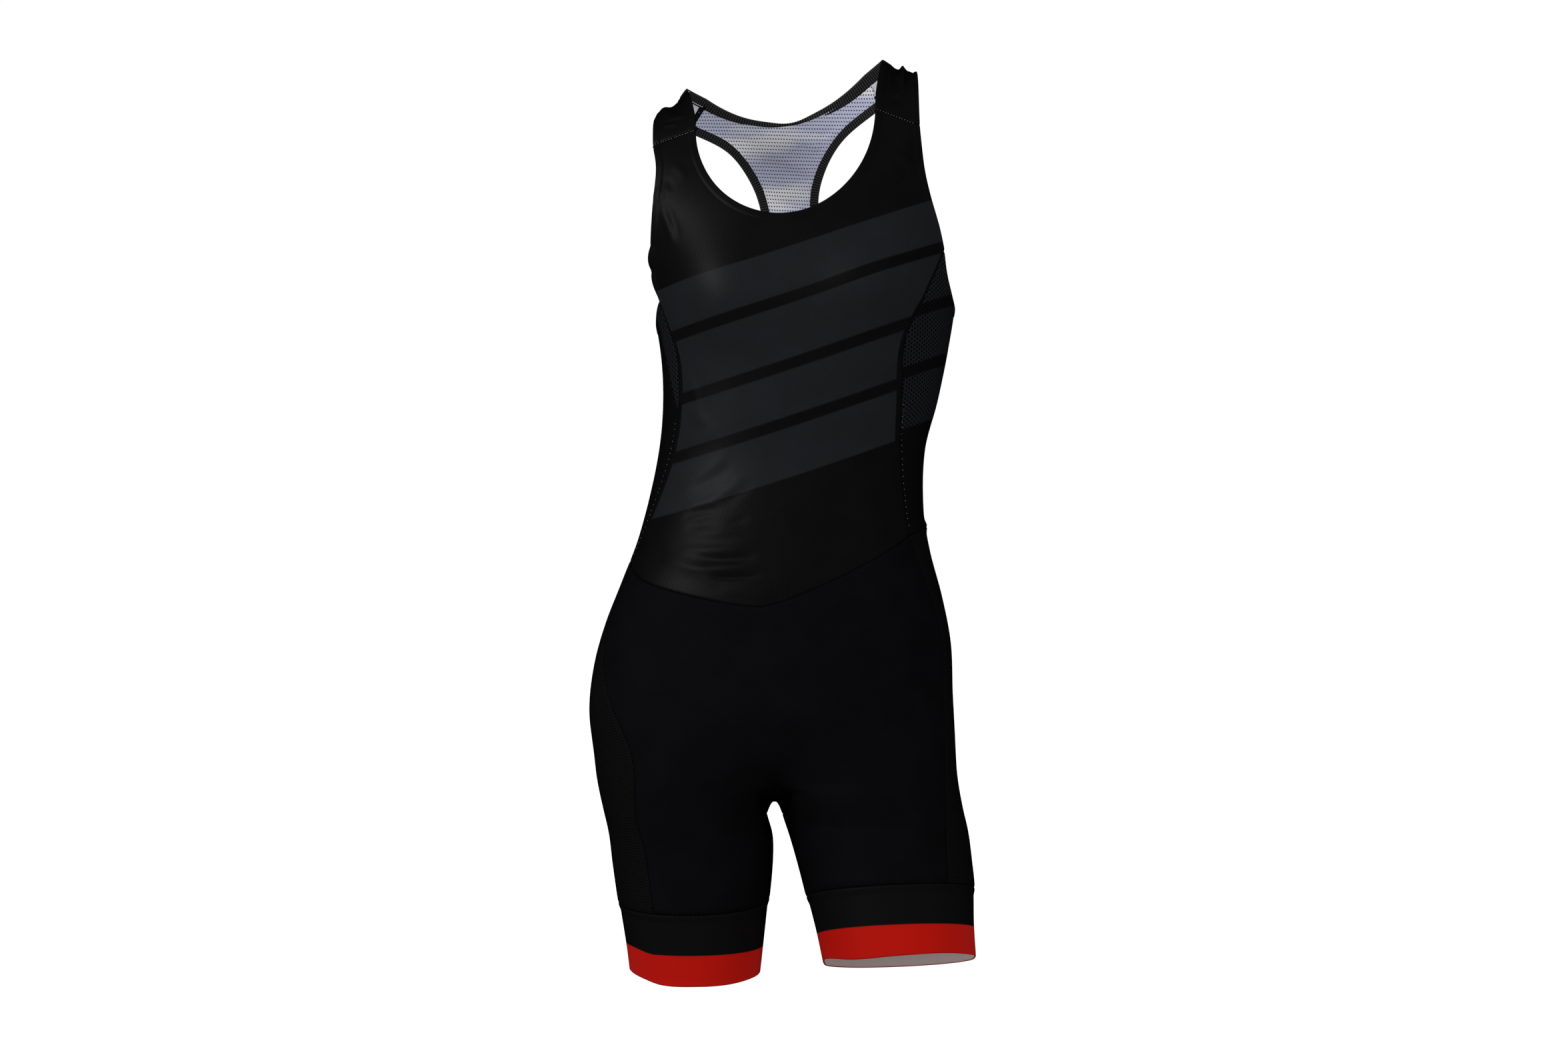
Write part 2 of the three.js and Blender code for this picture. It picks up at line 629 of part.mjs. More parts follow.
function hemBand(side) {
  const { top, hem } = bandLevels[side];
  const rows = [0, BAND_STEP.by / (top - hem), ...steps(STEPS.bandDown).slice(1)];
  const angles = panelAngles(side);
  const points = rows.map((v) => [angles[angles.length - 1], ...angles].map((angle) => {
    const level = mix(top, hem, v);
    const point = leg(side, angle, level);
    const inward = leg(side, angle + 180, level).sub(point).normalize();
    return point.addScaledVector(inward, v > 0 ? BAND_STEP.in : 0);
  }));
  return wall([net(points, side === 'left')], BAND_WALL);
}

// ---------------------------------------------------------------- the suit
const FINISHES = {
  bodiceKnit: { color: 0x151617, roughness: 0.62 },
  sideMesh: { color: 0x1d1f21, roughness: 0.75 },
  yokeMesh: { color: 0x17181b, roughness: 0.75 },
  shortsKnit: { color: 0x0c0d12, roughness: 0.7 },
  elastic: { color: 0x232427, roughness: 0.6 },
  hemKnit: { color: 0xb5150f, roughness: 0.6 },
};

const suit = new THREE.Group();
function addPiece(name, geometry, finish) {
  const material = new THREE.MeshStandardMaterial({ ...FINISHES[finish], metalness: 0 });
  const mesh = new THREE.Mesh(geometry, material);
  mesh.name = name;
  suit.add(mesh);
}

addPiece('front_bodice', frontBodice(), 'bodiceKnit');
addPiece('back_bodice', backBodice(), 'yokeMesh');
addPiece('back_neck_binding', backNeckBinding(), 'elastic');
addPiece('shorts_front', shortsPanel('front'), 'shortsKnit');
addPiece('shorts_back', shortsPanel('back'), 'shortsKnit');
addPiece('crotch_gusset', crotchGusset(), 'shortsKnit');
['left', 'right'].forEach((side) => {
  addPiece(`shoulder_strap_${side}`, shoulderStrap(side), 'bodiceKnit');
  addPiece(`armhole_binding_${side}`, armholeBinding(side), 'elastic');
  addPiece(`side_panel_${side}`, sidePanel(side), 'sideMesh');
  addPiece(`leg_side_panel_${side}`, legSidePanel(side), 'sideMesh');
  addPiece(`hem_band_${side}`, hemBand(side), 'hemKnit');
});

export default suit;
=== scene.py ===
"""Women's rowing unisuit in worn, hollow form, built piece by piece in the order it is sewn.

Sizes are millimetres. +Z is up, the front faces -Y, +X is the wearer's left, and the origin lies
between the tops of the shoulder straps. Every cut piece lies on the surface of its CAD solid.
"""

import bpy
import mathutils
import numpy as np
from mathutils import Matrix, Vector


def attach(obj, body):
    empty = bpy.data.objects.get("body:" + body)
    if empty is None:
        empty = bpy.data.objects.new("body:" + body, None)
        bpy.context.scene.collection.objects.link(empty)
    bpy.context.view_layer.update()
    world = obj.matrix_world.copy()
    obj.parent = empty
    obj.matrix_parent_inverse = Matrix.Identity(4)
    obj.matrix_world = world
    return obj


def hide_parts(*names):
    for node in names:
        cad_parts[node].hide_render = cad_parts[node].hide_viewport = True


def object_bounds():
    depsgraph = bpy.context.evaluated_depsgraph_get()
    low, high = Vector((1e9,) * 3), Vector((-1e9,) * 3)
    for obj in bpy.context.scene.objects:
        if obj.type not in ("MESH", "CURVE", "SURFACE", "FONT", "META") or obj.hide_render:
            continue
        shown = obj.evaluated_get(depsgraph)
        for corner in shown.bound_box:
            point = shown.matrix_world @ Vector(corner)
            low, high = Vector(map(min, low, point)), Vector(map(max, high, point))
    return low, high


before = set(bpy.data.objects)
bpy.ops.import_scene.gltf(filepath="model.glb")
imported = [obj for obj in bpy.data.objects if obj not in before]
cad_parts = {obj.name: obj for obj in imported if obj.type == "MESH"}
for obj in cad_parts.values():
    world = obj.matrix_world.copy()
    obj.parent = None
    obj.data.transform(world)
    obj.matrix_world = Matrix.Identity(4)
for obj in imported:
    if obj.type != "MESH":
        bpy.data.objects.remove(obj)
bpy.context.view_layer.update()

# ---------------------------------------------------------------- front bodice
# The front is one cut piece of smooth, sublimation-printed polyester knit, from the two strap
# seams down to the pointed waist seam. Its neckline and armholes are turned in once and
# stitched down, and its long sides are overlocked to the mesh side panels.

SIDES = ("left", "right")
TORSO_SQUARENESS = 2.3
BUST = {"across": 68, "spread": 36, "level": -190, "rise": 46, "full": 9}
FRONT_WAIST = {"centre": -474, "sides": -424, "bend": 1.4}
STRAP_SEAM = {"inner": (80.5, -37), "left": 0.92, "right": 1, "back": ((73, 5), (92, -24))}
NECKLINE = {"half": 80.5, "top": -37, "drop": 89, "lean": -3}
CHEST = {"level": -165, "sag": 14, "share": 0.3}
KNIT = 0.9
SEAM = {"dive": 0.6, "near": 0.9, "dip": 0.15, "far": 2.2}
HEM = {"width": 7.2, "full": 0.5, "edge": 1.2, "round": 0.7, "groove": 0.3, "inside": 0.6}


def table(columns, rows):
    """Named columns; the first one is the key, and it falls from row to row."""
    return dict(zip(columns.split(), np.array(rows, float).T))


# The trunk is an oval at each level. x is its middle, half its half width, front and back are its
# depths, turn is its turn in degrees, and bank its rise for each millimetre to the left.
torso_rings = table("level x half front back turn bank", [
    (40, -1, 150, 30, 40, 0, 0.16),
    (0, -1, 156, 42, 52, 0, 0.15),
    (-35, -1, 158, 54, 63, 0, 0.12),
    (-70, 0, 158, 72, 80, 0, 0.10),
    (-115, 3, 152, 90, 94, 1, 0.08),
    (-160, 11, 142, 103, 98, 3, 0.07),
    (-200, 17, 138, 108, 97, 5, 0.07),
    (-250, 17, 131, 101, 91, 6, 0.07),
    (-300, 12, 126, 93, 84, 5, 0.08),
    (-345, 3, 123.5, 87, 80, 5, 0.09),
    (-400, -5, 130, 92, 86, 4, 0.10),
    (-440, -10, 141, 98, 94, 3, 0.10),
    (-480, -12, 154, 102, 106, 2, 0.08),
    (-520, -13, 163, 104, 116, 1, 0.06),
    (-565, -14, 166, 104, 120, 0, 0.04),
    (-620, -10, 165, 100, 114, 0, 0.02),
    (-690, -8, 166, 92, 100, 0, 0),
])
# Angles from the flanks, in degrees, of the front seams of both sides and of the back seams.
seam_angles = table("level left right back", [
    (-165, 18, 20, -30),
    (-200, 30, 24, -30),
    (-245, 38, 30, -30),
    (-300, 34, 28, -29),
    (-345, 27, 24, -28),
    (-385, 24, 18, -26),
    (-425, 22, 12, -24),
    (-465, 18, 9, -21),
    (-510, 14, 15, -18),
    (-560, 15, 23, -16),
    (-620, 17, 34, -16),
    (-690, 18, 42, -16),
])
# Front armholes from the strap seam (1) to the chest line (0): distances from the middle, level.
front_armhole = table("share left right level", [
    (1, 120, 120, -46),
    (0.8, 121, 116.5, -70),
    (0.6, 123, 118, -94),
    (0.4, 127, 122, -118),
    (0.2, 131, 127.5, -142),
    (0, 133, 131, -165),
])


def sign_of(side):
    """1 on the wearer's left, -1 on the right."""
    return 1 if side == "left" else -1


def read(rows, name, at):
    """Cubic between the rows of a column, its slope at a row that of the line past both sides."""
    keys, values = next(iter(rows.values())), rows[name]
    last = len(keys) - 1
    before = np.maximum(np.arange(last + 1) - 1, 0)
    after = np.minimum(np.arange(last + 1) + 1, last)
    slope = (values[after] - values[before]) / (keys[after] - keys[before])
    x = np.clip(at, keys[-1], keys[0])
    i = np.clip(np.searchsorted(-keys, -x, side="right") - 1, 0, last - 1)
    span = keys[i + 1] - keys[i]
    u = (x - keys[i]) / span
    return ((1 + 2 * u) * (1 - u) ** 2 * values[i] + u * (1 - u) ** 2 * span * slope[i]
            + u * u * (3 - 2 * u) * values[i + 1] + u * u * (u - 1) * span * slope[i + 1])


def mix(a, b, t):
    """Point at share t of the way from a to b."""
    return a + (b - a) * t


def soft(near, width):
    """Bell curve: 1 at no distance, falling away over a width."""
    return np.exp(-(near / width) ** 2)


def oval(angle, half, front, back, squareness):
    """Squared-off ellipse: distance across, and distance forwards, in the direction of angle."""
    c, s = np.cos(np.radians(angle)), np.sin(np.radians(angle))
    depth = np.where(s >= 0, front, back)
    radius = (np.abs(c / half) ** squareness + np.abs(s / depth) ** squareness) ** (-1 / squareness)
    return radius * c, radius * s


def torso(angle, level):
    """Point of the torso ring at a level: angle 0 is the left flank, 90 the front, 180 the right
    flank, -90 the back. Two soft swells shape the chest; the ring is turned, then banked."""
    angle, level = np.broadcast_arrays(np.asarray(angle, float), np.asarray(level, float))
    half, front, back, x, turn, bank = (
        read(torso_rings, name, level) for name in ("half", "front", "back", "x", "turn", "bank"))
    p, q = oval(angle, half, front, back, TORSO_SQUARENESS)
    swell = sum(soft(p - sign * BUST["across"], BUST["spread"]) for sign in (-1, 1))
    height = soft(level - BUST["level"], BUST["rise"])
    q = q + BUST["full"] * swell * height * np.clip(q / 60, 0, 1)
    turn = np.radians(turn)
    return np.stack([x + p * np.cos(turn) - q * np.sin(turn),
                     -p * np.sin(turn) - q * np.cos(turn),
                     level + bank * p], -1)


def angle_at(p, level, facing):
    """Angle of the torso point at distance p to the left of the middle, in front or behind."""
    half, depth = read(torso_rings, "half", level), read(torso_rings, facing, level)
    q = depth * np.clip(1 - np.abs(p / half) ** TORSO_SQUARENESS, 0, None) ** (1 / TORSO_SQUARENESS)
    angle = np.degrees(np.arctan2(q if facing == "front" else -q, p))
    return angle if facing == "front" else np.where(angle > 0, angle - 360, angle)


def torso_at(p, level, facing):
    """Torso point at distance p to the left of the middle."""
    return torso(angle_at(p, level, facing), level)


def from_flank(side, angle):
    """Angle on the torso ring of an angle counted from the left or the right flank."""
    angle = np.asarray(angle, float)
    return angle if side == "left" else np.where(angle >= 0, 180 - angle, -180 - angle)


def torso_side(side, angle, level):
    """Torso point by its angle from the left or the right flank."""
    return torso(from_flank(side, angle), level)


ARC_STEP = {"level": 10.0, "angle": 3.0}
ARC_LEVELS = np.arange(40, -700, -ARC_STEP["level"])
ARC_ANGLES = np.arange(-270, 271, ARC_STEP["angle"])
arc_rings = torso(ARC_ANGLES[None, :], ARC_LEVELS[:, None])
arc_chords = np.linalg.norm(np.diff(arc_rings, axis=1, prepend=arc_rings[:, :1]), axis=-1)
arc_sums = np.cumsum(arc_chords, 1)
arc_sums -= arc_sums[:, [np.argmin(np.abs(ARC_ANGLES - 90))]]


def around(angle, level):
    """Distance round the torso ring from the front middle, read from sums of short chords."""
    row = np.clip((ARC_LEVELS[0] - level) / ARC_STEP["level"], 0, len(ARC_LEVELS) - 1.001)
    column = np.clip((angle - ARC_ANGLES[0]) / ARC_STEP["angle"], 0, len(ARC_ANGLES) - 1.001)
    i, j = row.astype(int), column.astype(int)
    a, b = row - i, column - j
    return mix(mix(arc_sums[i, j], arc_sums[i, j + 1], b),
               mix(arc_sums[i + 1, j], arc_sums[i + 1, j + 1], b), a)


def torso_net(angle, level):
    """Grid of torso points, with the distances round and down that its cloth is woven by."""
    angle, level = np.broadcast_arrays(angle, level)
    return torso(angle, level), np.stack([around(angle, level), level], -1)


def edged(n, ease=0.75):
    """Steps from 0 to 1, closer together towards both ends, where the seams and hems are."""
    t = np.linspace(0, 1, n + 1)
    return t - ease * np.sin(2 * np.pi * t) / (2 * np.pi)


def front_seam(side, level):
    """Angle from the flank of the seam between the front and a side panel."""
    return read(seam_angles, side, level)


def front_angle(c, level):
    """Angle at share c of the way across the front, from the left seam to the right one."""
    return mix(front_seam("left", level), 180 - front_seam("right", level), c)


def front_waist(from_centre):
    """Level of the waist seam in front, pointed at the middle."""
    return mix(FRONT_WAIST["centre"], FRONT_WAIST["sides"], from_centre ** FRONT_WAIST["bend"])


def chest_level(c):
    """Level of the line across the chest where the armholes end, sagging at the middle."""
    return CHEST["level"] - CHEST["sag"] * np.sin(np.pi * c)


def neckline(s):
    """Half an ellipse from the left strap seam to the right one: distance across and level."""
    low = np.sin(np.pi * s)
    return (NECKLINE["half"] * np.cos(np.pi * s) + NECKLINE["lean"] * low,
            NECKLINE["top"] - NECKLINE["drop"] * low)


def front_band_edge(s):
    """Down the left armhole, along the chest line and up the right armhole: angle and level."""
    c = np.clip((s - CHEST["share"]) / (1 - 2 * CHEST["share"]), 0, 1)
    share = 1 - np.clip(np.minimum(s, 1 - s) / CHEST["share"], 0, 1)
    share = share * np.where(s < 0.5, STRAP_SEAM["left"], STRAP_SEAM["right"])
    p = np.where(s < 0.5, read(front_armhole, "left", share), -read(front_armhole, "right", share))
    hole = read(front_armhole, "level", share)
    chest = (s >= CHEST["share"]) & (s <= 1 - CHEST["share"])
    return (np.where(chest, front_angle(c, chest_level(c)), angle_at(p, hole, "front")),
            np.where(chest, chest_level(c), hole))


def band_steps(hole, across):
    """Steps along a band whose ends run down the armholes and whose middle joins the block."""
    share = CHEST["share"]
    return np.r_[hole[:-1] * share, mix(share, 1 - share, across), mix(1 - share, 1, hole[1:])]


front_across = edged(120)
s, r = np.meshgrid(band_steps(edged(44, 0.5), front_across), edged(54))
p, top = neckline(s)
angle, level = front_band_edge(s)
front_band = torso_net(mix(angle_at(p, top, "front"), angle, r), mix(top, level, r))
c, v = np.meshgrid(front_across, edged(110))
level = mix(chest_level(c), front_waist(np.abs(2 * c - 1)), v)
front_block = torso_net(front_angle(c, level), level)


WELD_STEP = 0.02


def weld(nets, flip=False):
    """Joins grids into one face: points, cloth distances and quads, looking along rows x columns.
    Points in the same step of space become one. A quad that has shrunk to a triangle, as round a
    pole, keeps one corner twice."""
    points = np.concatenate([n[0].reshape(-1, 3) for n in nets])
    cloth = np.concatenate([n[1].reshape(-1, 2) for n in nets])
    quads, start = [], 0
    for net, _ in nets:
        rows, columns = net.shape[:2]
        index = start + np.arange(rows * columns).reshape(rows, columns)
        quads.append(np.stack([index[:-1, :-1], index[:-1, 1:], index[1:, 1:], index[1:, :-1]],
                              -1).reshape(-1, 4))
        start += rows * columns
    quads = np.concatenate(quads)[:, ::-1 if flip else 1]
    _, first, same = np.unique(np.round(points / WELD_STEP).astype(int), axis=0,
                               return_index=True, return_inverse=True)
    quads = same.reshape(-1)[quads]
    corners = 1 + (np.diff(np.sort(quads, 1), axis=1) > 0).sum(1)
    return points[first], cloth[first], quads[corners > 2]


def outward(points, quads):
    """Unit normal at every point: the sum of the crossed diagonals of the quads round it."""
    a, b, c, d = (points[quads[:, k]] for k in range(4))
    cross = np.cross(c - a, d - b)
    normals = np.stack([np.bincount(quads.reshape(-1), np.repeat(cross[:, k], 4), len(points))
                        for k in range(3)], -1)
    return normals / np.maximum(np.linalg.norm(normals, axis=1, keepdims=True), 1e-9)


def open_edges(quads):
    """Edges that only one quad uses, in that quad's order."""
    edges = np.concatenate([quads[:, [k, (k + 1) % 4]] for k in range(4)])
    size = quads.max() + 1
    forward, backward = edges[:, 0] * size + edges[:, 1], edges[:, 1] * size + edges[:, 0]
    return edges[~np.isin(forward, backward)]


def distance(points, line, lot=4000):
    """Shortest distance from each point to a line of points, measured to its segments. The
    points are worked through in lots, which saves memory."""
    found = np.full(len(points), np.inf)
    for start in range(0, len(points), lot):
        part = points[start:start + lot]
        square = (part ** 2).sum(1)[:, None] + (line ** 2).sum(1)[None] - 2 * part @ line.T
        near = np.argmin(square, 1)
        best = np.full(len(part), np.inf)
        for step in (-1, 0):
            i = np.clip(near + step, 0, len(line) - 2)
            a, b = line[i], line[i + 1]
            t = np.clip(((part - a) * (b - a)).sum(1) / np.maximum(((b - a) ** 2).sum(1), 1e-9), 0, 1)
            best = np.minimum(best, np.linalg.norm(part - mix(a, b, t[:, None]), axis=1))
        found[start:start + lot] = best
    return found


def nearest(points, *lines):
    """Shortest distance from each point to any of several lines."""
    return np.minimum.reduce([distance(points, line) for line in lines])


def step_up(x, low, high):
    """Smooth step from 0 at low to 1 at high."""
    t = np.clip((x - low) / (high - low), 0, 1)
    return t * t * (3 - 2 * t)


def seamed(near):
    """Height beside a sewn seam: both edges dive into it, out of a wider and shallower dip."""
    return -SEAM["dive"] * soft(near, SEAM["near"]) - SEAM["dip"] * soft(near, SEAM["far"])


def turned(near):
    """Height over a turned hem: rounded edge, double cloth, then the groove of its stitch line."""
    width = HEM["width"]
    round_off = -HEM["round"] * np.clip(1 - near / HEM["edge"], 0, 1) ** 2
    double = HEM["full"] * (1 - step_up(near, width - 1.4, width + 0.8))
    return round_off + double - HEM["groove"] * soft(near - width, 0.8)


# A swell wider than this, in millimetres, is fullness and not a fold.
WIDE_SWELL = 10


def creases(points, normals, view, rows):
    """Soft ridges and troughs of given height, each along a bowed line in the plane of x and z,
    on the cloth that faces the front or the back. Each fades towards both ends, a wide swell
    more softly than a narrow fold."""
    flat = points[:, [0, 2]]
    facing = normals[:, 1] * (-1 if view == "front" else 1)
    seen = step_up(facing, 0.0, 0.35)
    height = np.zeros(len(points))
    for x0, z0, x1, z1, bow, width, high in rows:
        a, along = np.array((x0, z0), float), np.array((x1 - x0, z1 - z0), float)
        size = np.linalg.norm(along)
        along /= size
        rel = flat - a
        t = rel @ along / size
        off = rel @ np.array((-along[1], along[0])) - bow * 4 * t * (1 - t)
        fade = np.sin(np.pi * np.clip(t, 0, 1)) ** (2 if width > WIDE_SWELL else 0.8)
        height += high * soft(off, width) * fade * seen
    return height


WORN = {"waves": 5, "length": 90, "high": 0.12}


def worn(points):
    """Slow swelling of worn cloth: a few waves in seeded directions and phases. It depends on
    the place alone, so two pieces that meet at a seam swell alike."""
    rng = np.random.default_rng(3)
    total = np.zeros(len(points))
    for _ in range(WORN["waves"]):
        direction = rng.normal(size=3)
        direction /= np.linalg.norm(direction)
        length = WORN["length"] * rng.uniform(0.7, 1.4)
        total += np.sin(points @ direction * 2 * np.pi / length + rng.uniform(0, 2 * np.pi))
    return WORN["high"] * total


def make_mesh(name, points, quads, cloth, slots, materials, marks=None):
    """Blender mesh from arrays in millimetres, with the cloth distances in metres as its UV map
    and a number for each point under each name in marks."""
    mesh = bpy.data.meshes.new(name)
    mesh.vertices.add(len(points))
    mesh.vertices.foreach_set("co", (points / 1000).ravel())
    used = quads != np.roll(quads, 1, 1)
    corners = quads[used]
    mesh.loops.add(len(corners))
    mesh.loops.foreach_set("vertex_index", corners)
    mesh.polygons.add(len(quads))
    mesh.polygons.foreach_set("loop_start", np.r_[0, np.cumsum(used.sum(1))[:-1]])
    for material in materials:
        mesh.materials.append(material)
    mesh.polygons.foreach_set("material_index", slots)
    mesh.polygons.foreach_set("use_smooth", np.ones(len(quads), bool))
    uv = mesh.uv_layers.new(name="cloth")
    uv.data.foreach_set("uv", (cloth[corners] / 1000).ravel())
    for mark, values in (marks or {}).items():
        mesh.attributes.new(mark, "FLOAT", "POINT").data.foreach_set("value", values)
    mesh.update(calc_edges=True)
    mesh.validate()
    piece = bpy.data.objects.new(name, mesh)
    bpy.context.scene.collection.objects.link(piece)
    return piece


def cut_piece(name, nets, flip, relief, materials, wall=KNIT, lining=None, mark=None, pale=None):
    """Shell of one cut piece: its face raised by the relief, an inside a wall's thickness in and
    raised by the lining, and rims. Materials are those of face, inside and rim; a rim takes the
    inside's where pale is true of its point. mark gives numbers to be kept for each point."""
    points, cloth, quads = weld(nets, flip)
    normals = outward(points, quads)
    face = points + normals * relief(points, normals)[:, None]
    normals = outward(face, quads)
    depth = wall + (lining(points, normals) if lining else 0)
    inside = face - normals * (np.zeros(len(points)) + depth)[:, None]
    count = len(points)
    rim = open_edges(quads)
    rims = np.stack([rim[:, 1], rim[:, 0], rim[:, 0] + count, rim[:, 1] + count], -1)
    every = np.concatenate([quads, quads[:, ::-1] + count, rims])
    slots = np.repeat([0, 1, 2], [len(quads), len(quads), len(rims)])
    if pale:
        slots[2 * len(quads):] = np.where(pale(face[rims[:, 0]]), 1, 2)
    marks = {key: np.tile(values, 2) for key, values in (mark(points, cloth) if mark else {}).items()}
    piece = make_mesh(name, np.concatenate([face, inside]), every, np.concatenate([cloth, cloth]),
                      slots, materials, marks)
    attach(piece, "root")
    return piece


def linear(code):
    """Linear colour of an sRGB hex value."""
    value = np.array([int(code[k:k + 2], 16) for k in (1, 3, 5)]) / 255
    return (*np.where(value <= 0.04045, value / 12.92, ((value + 0.055) / 1.055) ** 2.4), 1.0)


def node(tree, kind, sockets=(), **settings):
    """Adds one node: settings are its own properties; sockets, listed in order or by name or
    place, are values, nodes whose first output is linked, or outputs."""
    new = tree.nodes.new("ShaderNode" + kind)
    for name, value in settings.items():
        setattr(new, name, value)
    for key, value in (sockets.items() if isinstance(sockets, dict) else enumerate(sockets)):
        if isinstance(value, bpy.types.Node):
            value = value.outputs[0]
        if isinstance(value, bpy.types.NodeSocket):
            tree.links.new(value, new.inputs[key])
        else:
            new.inputs[key].default_value = value
    return new


def cloth_material(name, **shader):
    """Material with a plain cloth's shader: returns it, its node tree and the shader node."""
    material = bpy.data.materials.new(name)
    material.use_nodes = True
    bsdf = material.node_tree.nodes["Principled BSDF"]
    for key, value in shader.items():
        bsdf.inputs[key.replace("_", " ")].default_value = value
    return material, material.node_tree, bsdf


def knitted(tree, across, down, strength, distance):
    """Bump of knitted rows: two crossed waves along the cloth, spacings and depth in millimetres."""
    place = node(tree, "UVMap", uv_map="cloth")
    turns = node(tree, "VectorMath", [place, (2000 * np.pi / across, 2000 * np.pi / down, 0)],
                 operation="MULTIPLY")
    axes = node(tree, "SeparateXYZ", [turns])
    waves = [node(tree, "Math", [axes.outputs[k]], operation="SINE") for k in (0, 1)]
    height = node(tree, "Math", waves, operation="ADD")
    return node(tree, "Bump", {"Height": height, "Strength": strength, "Distance": distance / 1000})


def cloudy(tree, colour, shade, scale, most):
    """The colour, mixed by up to a share with a second shade in slow clouds, as dye takes."""
    place = node(tree, "TexCoord").outputs["Object"]
    cloud = node(tree, "TexNoise", {"Vector": place, "Scale": scale, "Detail": 4.0})
    share = node(tree, "MapRange",
                 {"Value": cloud, "From Min": 0.35, "From Max": 0.65, "To Max": most})
    return node(tree, "Mix", {0: share, 6: colour, 7: linear(shade)}, data_type="RGBA").outputs[2]


# Dyed print: a slate band with three narrow black bars, all climbing towards the left side.
# Beside the side seams the cloth is black in a margin that widens downwards.
PRINT = {"slope": 0.325, "curve": 0.00022, "blur": 0.5, "bar": 5.2, "past": 10,
         "margin": (3.2, 6.8)}
BAND = (-361, -157.5)
BARS = (-311.5, -261, -203)
BLACK_DYE, SLATE_DYE = "#0c0c0d", "#1e1f22"


def print_rise(points, shift=0.0):
    """Height of each point over the slanted lines of the print."""
    x, z = points[:, 0], points[:, 2] - shift
    return z - PRINT["slope"] * x - PRINT["curve"] * x * x


def dyed(tree, black, slate):
    """Black cloth with the slate band and without its bars, by the rise over the print's lines:
    two colour stops at every edge, a blur to each side of it."""
    rise = node(tree, "Attribute", attribute_name="rise").outputs["Fac"]
    low, high = BAND[0] - PRINT["past"], BAND[1] + PRINT["past"]
    share = node(tree, "MapRange", {"Value": rise, "From Min": low, "From Max": high})
    print_ramp = node(tree, "ValToRGB", [share])
    edges = [BAND[0], *(bar + side * PRINT["bar"] for bar in BARS for side in (-1, 1)), BAND[1]]
    for k, edge in enumerate(edges):
        for side, colour in zip((-1, 1), (black, slate) if k % 2 == 0 else (slate, black)):
            at = (edge + side * PRINT["blur"] - low) / (high - low)
            stop = print_ramp.color_ramp.elements.new(at)
            stop.position, stop.color = at, linear(colour)
    for end in (0, -1):
        print_ramp.color_ramp.elements[end].color = linear(black)
    return print_ramp


# Printed polyester knit: smooth, nearly black, with the dull sheen of flat filament yarn. Its
# loops are about 0.6 by 0.5 mm and are drawn at twice that, so that they show.
printed_knit, tree, shader = cloth_material(
    "sublimation printed polyester knit", Roughness=0.42, Specular_IOR_Level=0.06)
margin = node(tree, "Attribute", attribute_name="margin").outputs["Fac"]
inside = node(tree, "MapRange", {"Value": margin, "From Min": -0.4, "From Max": 0.4})
print_with_margin = node(tree, "Mix", {0: inside, 6: linear(BLACK_DYE), 7: dyed(tree, BLACK_DYE, SLATE_DYE)},
                 data_type="RGBA")
dye = cloudy(tree, print_with_margin.outputs[2], "#141415", 35.0, 0.2)
tree.links.new(dye, shader.inputs["Base Color"])
tree.links.new(knitted(tree, 1.3, 1.0, 0.25, 0.06).outputs[0], shader.inputs["Normal"])

# Back of the same knit: the print stays on the face, so the inside is the white yarn. Its loops
# are drawn at nearly three times their size.
white_knit, tree, shader = cloth_material(
    "unprinted back of polyester knit", Roughness=0.85, Specular_IOR_Level=0.2)
white = cloudy(tree, linear("#dcdbe0"), "#c9c8d0", 25.0, 0.5)
tree.links.new(white, shader.inputs["Base Color"])
tree.links.new(knitted(tree, 1.6, 1.2, 0.35, 0.1).outputs[0], shader.inputs["Normal"])

# The armhole hem runs on below the chest line where the side seam starts lower, on the right.
SEAM_TOP = {"left": -165, "right": -192}
neck_line = torso_at(*neckline(np.linspace(0, 1, 300)), "front")
share = np.linspace(1, 0, 80)
princess, front_holes = {}, {}
for side in SIDES:
    level = np.linspace(SEAM_TOP[side], FRONT_WAIST["sides"], 260)
    princess[side] = torso_side(side, front_seam(side, level), level)
    level = np.linspace(CHEST["level"], SEAM_TOP[side], 30)
    front_holes[side] = np.concatenate([
        torso_at(sign_of(side) * read(front_armhole, side, share),
                 read(front_armhole, "level", share), "front"),
        torso_side(side, front_seam(side, level), level)])
c = np.linspace(0, 1, 240)
level = front_waist(np.abs(2 * c - 1))
front_waist_line = torso(front_angle(c, level), level)


def strap_seam(side, w):
    """Front strap seam from the neckline (w 0) to the armhole (w 1), even in angle and level."""
    sign, (p0, level0) = sign_of(side), STRAP_SEAM["inner"]
    p1, level1 = (read(front_armhole, name, STRAP_SEAM[side]) for name in (side, "level"))
    ends = angle_at(sign * p0, level0, "front"), angle_at(sign * p1, level1, "front")
    return mix(*ends, w), mix(level0, level1, w)


strap_front_line = {side: torso(*strap_seam(side, np.linspace(0, 1, 60))) for side in SIDES}


